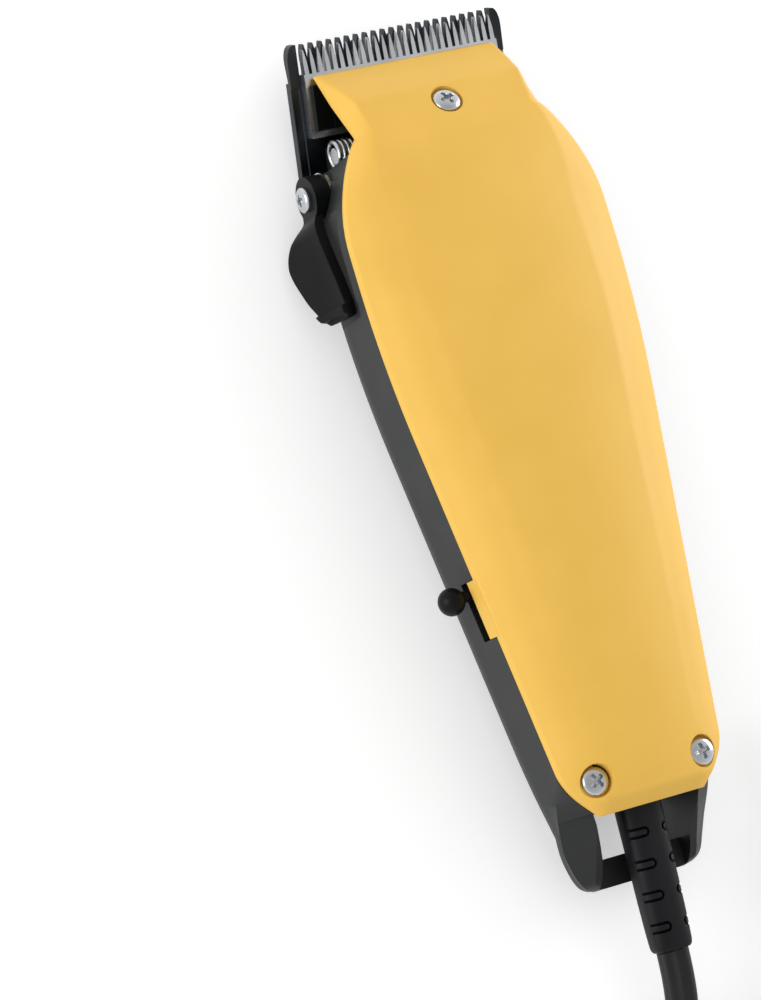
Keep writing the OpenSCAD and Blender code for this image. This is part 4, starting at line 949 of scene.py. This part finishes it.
lever = blank("lever", *lever_rings())
worked(lever, "UNION", bar([-26.4, pivot_y, pivot_z], [-23.2, pivot_y, pivot_z], 4.2, 64))
worked(lever, "DIFFERENCE", bar([-24, pivot_y, pivot_z], [-20, pivot_y, pivot_z], shaft_hole_r))
softened(lever, 0.3, 45)
# Nylon: black satin, its gloss drifting a little from place to place
lever_nylon = moulded("lever_nylon", "#0D0E0E", "#090A0A", 0.45, 0.012, {
    "Roughness": 0.4, "IOR": 1.5, "Specular IOR Level": 0.14
})
fit(lever, "lever", lever_nylon, ["taper_lever"])
lever_head = cross_head(2.4, 1.4, arm=1.1, half=0.28)
points = lever_head[0] @ np.array([[0, 0, 1], [0, 1, 0], [-1, 0, 0]], float)
lever_screw = blank("lever_screw", points + [-26.45, pivot_y, pivot_z], lever_head[1])
shaded(lever_screw, 50)
fit(lever_screw, "lever", screw_plate, ["taper_lever_screw"])
paint(screw_plate, "lever_washer")


# ---------- Switch knob ----------
# A moulded nylon ball on a short neck, pushed along the slot in the left wall. The neck passes
# through to the slider behind it.
def knob_profile():
    """Neck, then a ball flattened a little at its end, as (radius, height) from the slider out."""
    turn = np.radians(np.linspace(24, 180, 30))
    ball = np.stack([2.6 * np.sin(turn), 3.6 - 2.6 * np.cos(turn) * np.where(turn > 1.5708, 0.94, 1)], 1)
    return np.concatenate([[[0, -4.2], [1.1, -4.2], [1.1, 1.05]], ball, [[0, ball[-1, 1]]]])


knob_rings = skin(lathe(knob_profile(), 48), ends="open")
knob_points = knob_rings[0] @ np.array([[0, 0, 1], [0, 1, 0], [-1, 0, 0]], float) + [0, 3.4, -4.3]
knob = blank("knob", *in_switch((knob_points, knob_rings[1])))
shaded(knob, 50)
fit(knob, "switch", lever_nylon, ["switch_knob"])
# The blade drive guide is black nylon, a real part, but its dark wings under the nose also serve as painted
# shade: they stand in for the shadow inside the nose.
paint(
    lever_nylon, "switch_slider", "taper_slider", "taper_cam", "blade_drive_guide", "drive_finger",
    "spring_seat"
)


# ---------- Inside the body ----------
# The motor and its fittings inside the shells: laminated iron, an enamelled copper winding under
# yellow tape, a stamped arm, brass terminals and vinyl-covered leads.
def banded(name, light, deep, pitch, direction, relief, shader):
    """Layers or turns side by side at a pitch in mm: round-topped bands with dark gaps."""
    finish = bare(name)
    place = add(finish, "TexCoord")
    bands = add(finish, "TexWave", {
        "Vector": (place, "Object"), "Scale": wave_scale(pitch), "Distortion": 0.3, "Detail": 1
    }, bands_direction=direction)
    tone = ramp(finish, (bands, "Fac"), deep, light)
    bump = add(finish, "Bump", {"Height": (bands, "Fac"), "Strength": 1, "Distance": relief / 1000})
    body = add(finish, "BsdfPrincipled", {
        **shader, "Base Color": (tone, "Color"), "Normal": (bump, "Normal")
    })
    add(finish, "OutputMaterial", {"Surface": (body, "BSDF")})
    return finish


# Silicon steel sheets, edges grey with a trace of varnish, drawn coarser than the real 0.5 mm
laminations = banded("laminations", "#85898C", "#55595C", 3.14, "Z", 0.03, {
    "Metallic": 1.0, "Roughness": 0.45
})
paint(laminations, "stator_core", "armature_core")
# Enamelled copper wire; its bands are drawn coarser than the real wire, about 0.35 mm thick
winding_wire = banded("winding_wire", "#C0703C", "#7A4220", 2.2, "X", 0.08, {
    "Metallic": 1.0, "Roughness": 0.3
})
paint(winding_wire, "coil_winding")
# Polyester tape: smooth, glossy and yellow
coil_polyester = moulded("coil_polyester", "#E3C24A", "#D3AE38", 2.5, 0.02, {"Roughness": 0.25, "IOR": 1.57})
paint(coil_polyester, "coil_tape", "wire_joints")
# Zinc-plated pressed steel: pale grey with a faint spangle
zinc_plate = metal("zinc_plate", "#B4B8BB", "#9A9FA3", 1.2, 0.006, (1, 1, 1), {"Roughness": 0.34})
paint(zinc_plate, "armature_arm", "leaf_rivets", "leaf_clamp_plate", "leaf_clamp_screws", "core_screws",
      "cord_clamp_screws", "power_screw")
# Rolled brass: warm yellow metal, dulled a little by handling
rolled_brass = metal("rolled_brass", "#CDA85C", "#B08B43", 0.6, 0.005, (1, 1, 1), {"Roughness": 0.3})
paint(rolled_brass, "power_nut", "switch_terminals")
paint(housing_abs, "switch_body")
paint(lever_nylon, "coil_bobbin", "cord_clamp")
paint(flex_pvc, "lead_wires")


# ---------- Floor, lights and finish ----------
# A white sweep that shows as plain white but keeps the clipper's shadow, under two soft boxes.
floor = blank("floor", *skin(np.array([
    [[-2000, -2000, 0], [2000, -2000, 0]], [[-2000, 2000, 0], [2000, 2000, 0]]
], float), ring_closed=False, ends="open"))
sweep = bare("white_sweep")
rays = add(sweep, "LightPath")
seen = add(sweep, "Math", {0: (rays, "Is Camera Ray"), 1: (rays, "Is Glossy Ray")}, operation="MAXIMUM")
matt = add(sweep, "BsdfDiffuse", {"Color": (0.8, 0.8, 0.8, 1)})
glow = add(sweep, "Emission", {"Color": (1, 1, 1, 1), "Strength": 0.4})
lit = add(sweep, "AddShader", {0: (matt, "BSDF"), 1: (glow, "Emission")})
both = add(sweep, "MixShader", {"Fac": (seen, "Value"), 1: (matt, "BSDF"), 2: (lit, "Shader")})
add(sweep, "OutputMaterial", {"Surface": (both, "Shader")})
floor.data.materials.append(sweep)

room = bpy.data.worlds.new("room")
bpy.context.scene.world = room
room.use_nodes = True
# The room is brighter low down than overhead, so that bright metal has something to mirror
heading = add(room, "TexCoord")
height = add(room, "SeparateXYZ", {"Vector": (heading, "Generated")})
fall = add(room, "MapRange", {"Value": (height, "Z"), "To Min": 1.1, "To Max": 0.54})
backdrop = room.node_tree.nodes["Background"]
backdrop.inputs["Color"].default_value = (1, 1, 1, 1)
room.node_tree.links.new(fall.outputs["Result"], backdrop.inputs["Strength"])


def soft_box(name, at, aim_at, size, power):
    """A square area lamp at a point in mm, turned to face another."""
    lamp = bpy.data.lights.new(name, "AREA")
    lamp.shape, lamp.size, lamp.energy = "SQUARE", size / 1000, power
    made = bpy.data.objects.new(name, lamp)
    back = np.array(at, float) - np.array(aim_at, float)
    back /= np.linalg.norm(back)
    right = np.cross([0, 1, 0.01], back)
    right /= np.linalg.norm(right)
    pose = Matrix([list(row) for row in np.column_stack([right, np.cross(back, right), back])]).to_4x4()
    pose.translation = np.array(at, float) / 1000
    made.matrix_world = pose
    bpy.context.scene.collection.objects.link(made)


soft_box("key", [945, 220, 270], [0, 0, 10], 600, 5.1)
soft_box("fill", [-945, 150, 270], [0, 0, 10], 600, 4.3)
bpy.context.scene.view_settings.view_transform = "Standard"
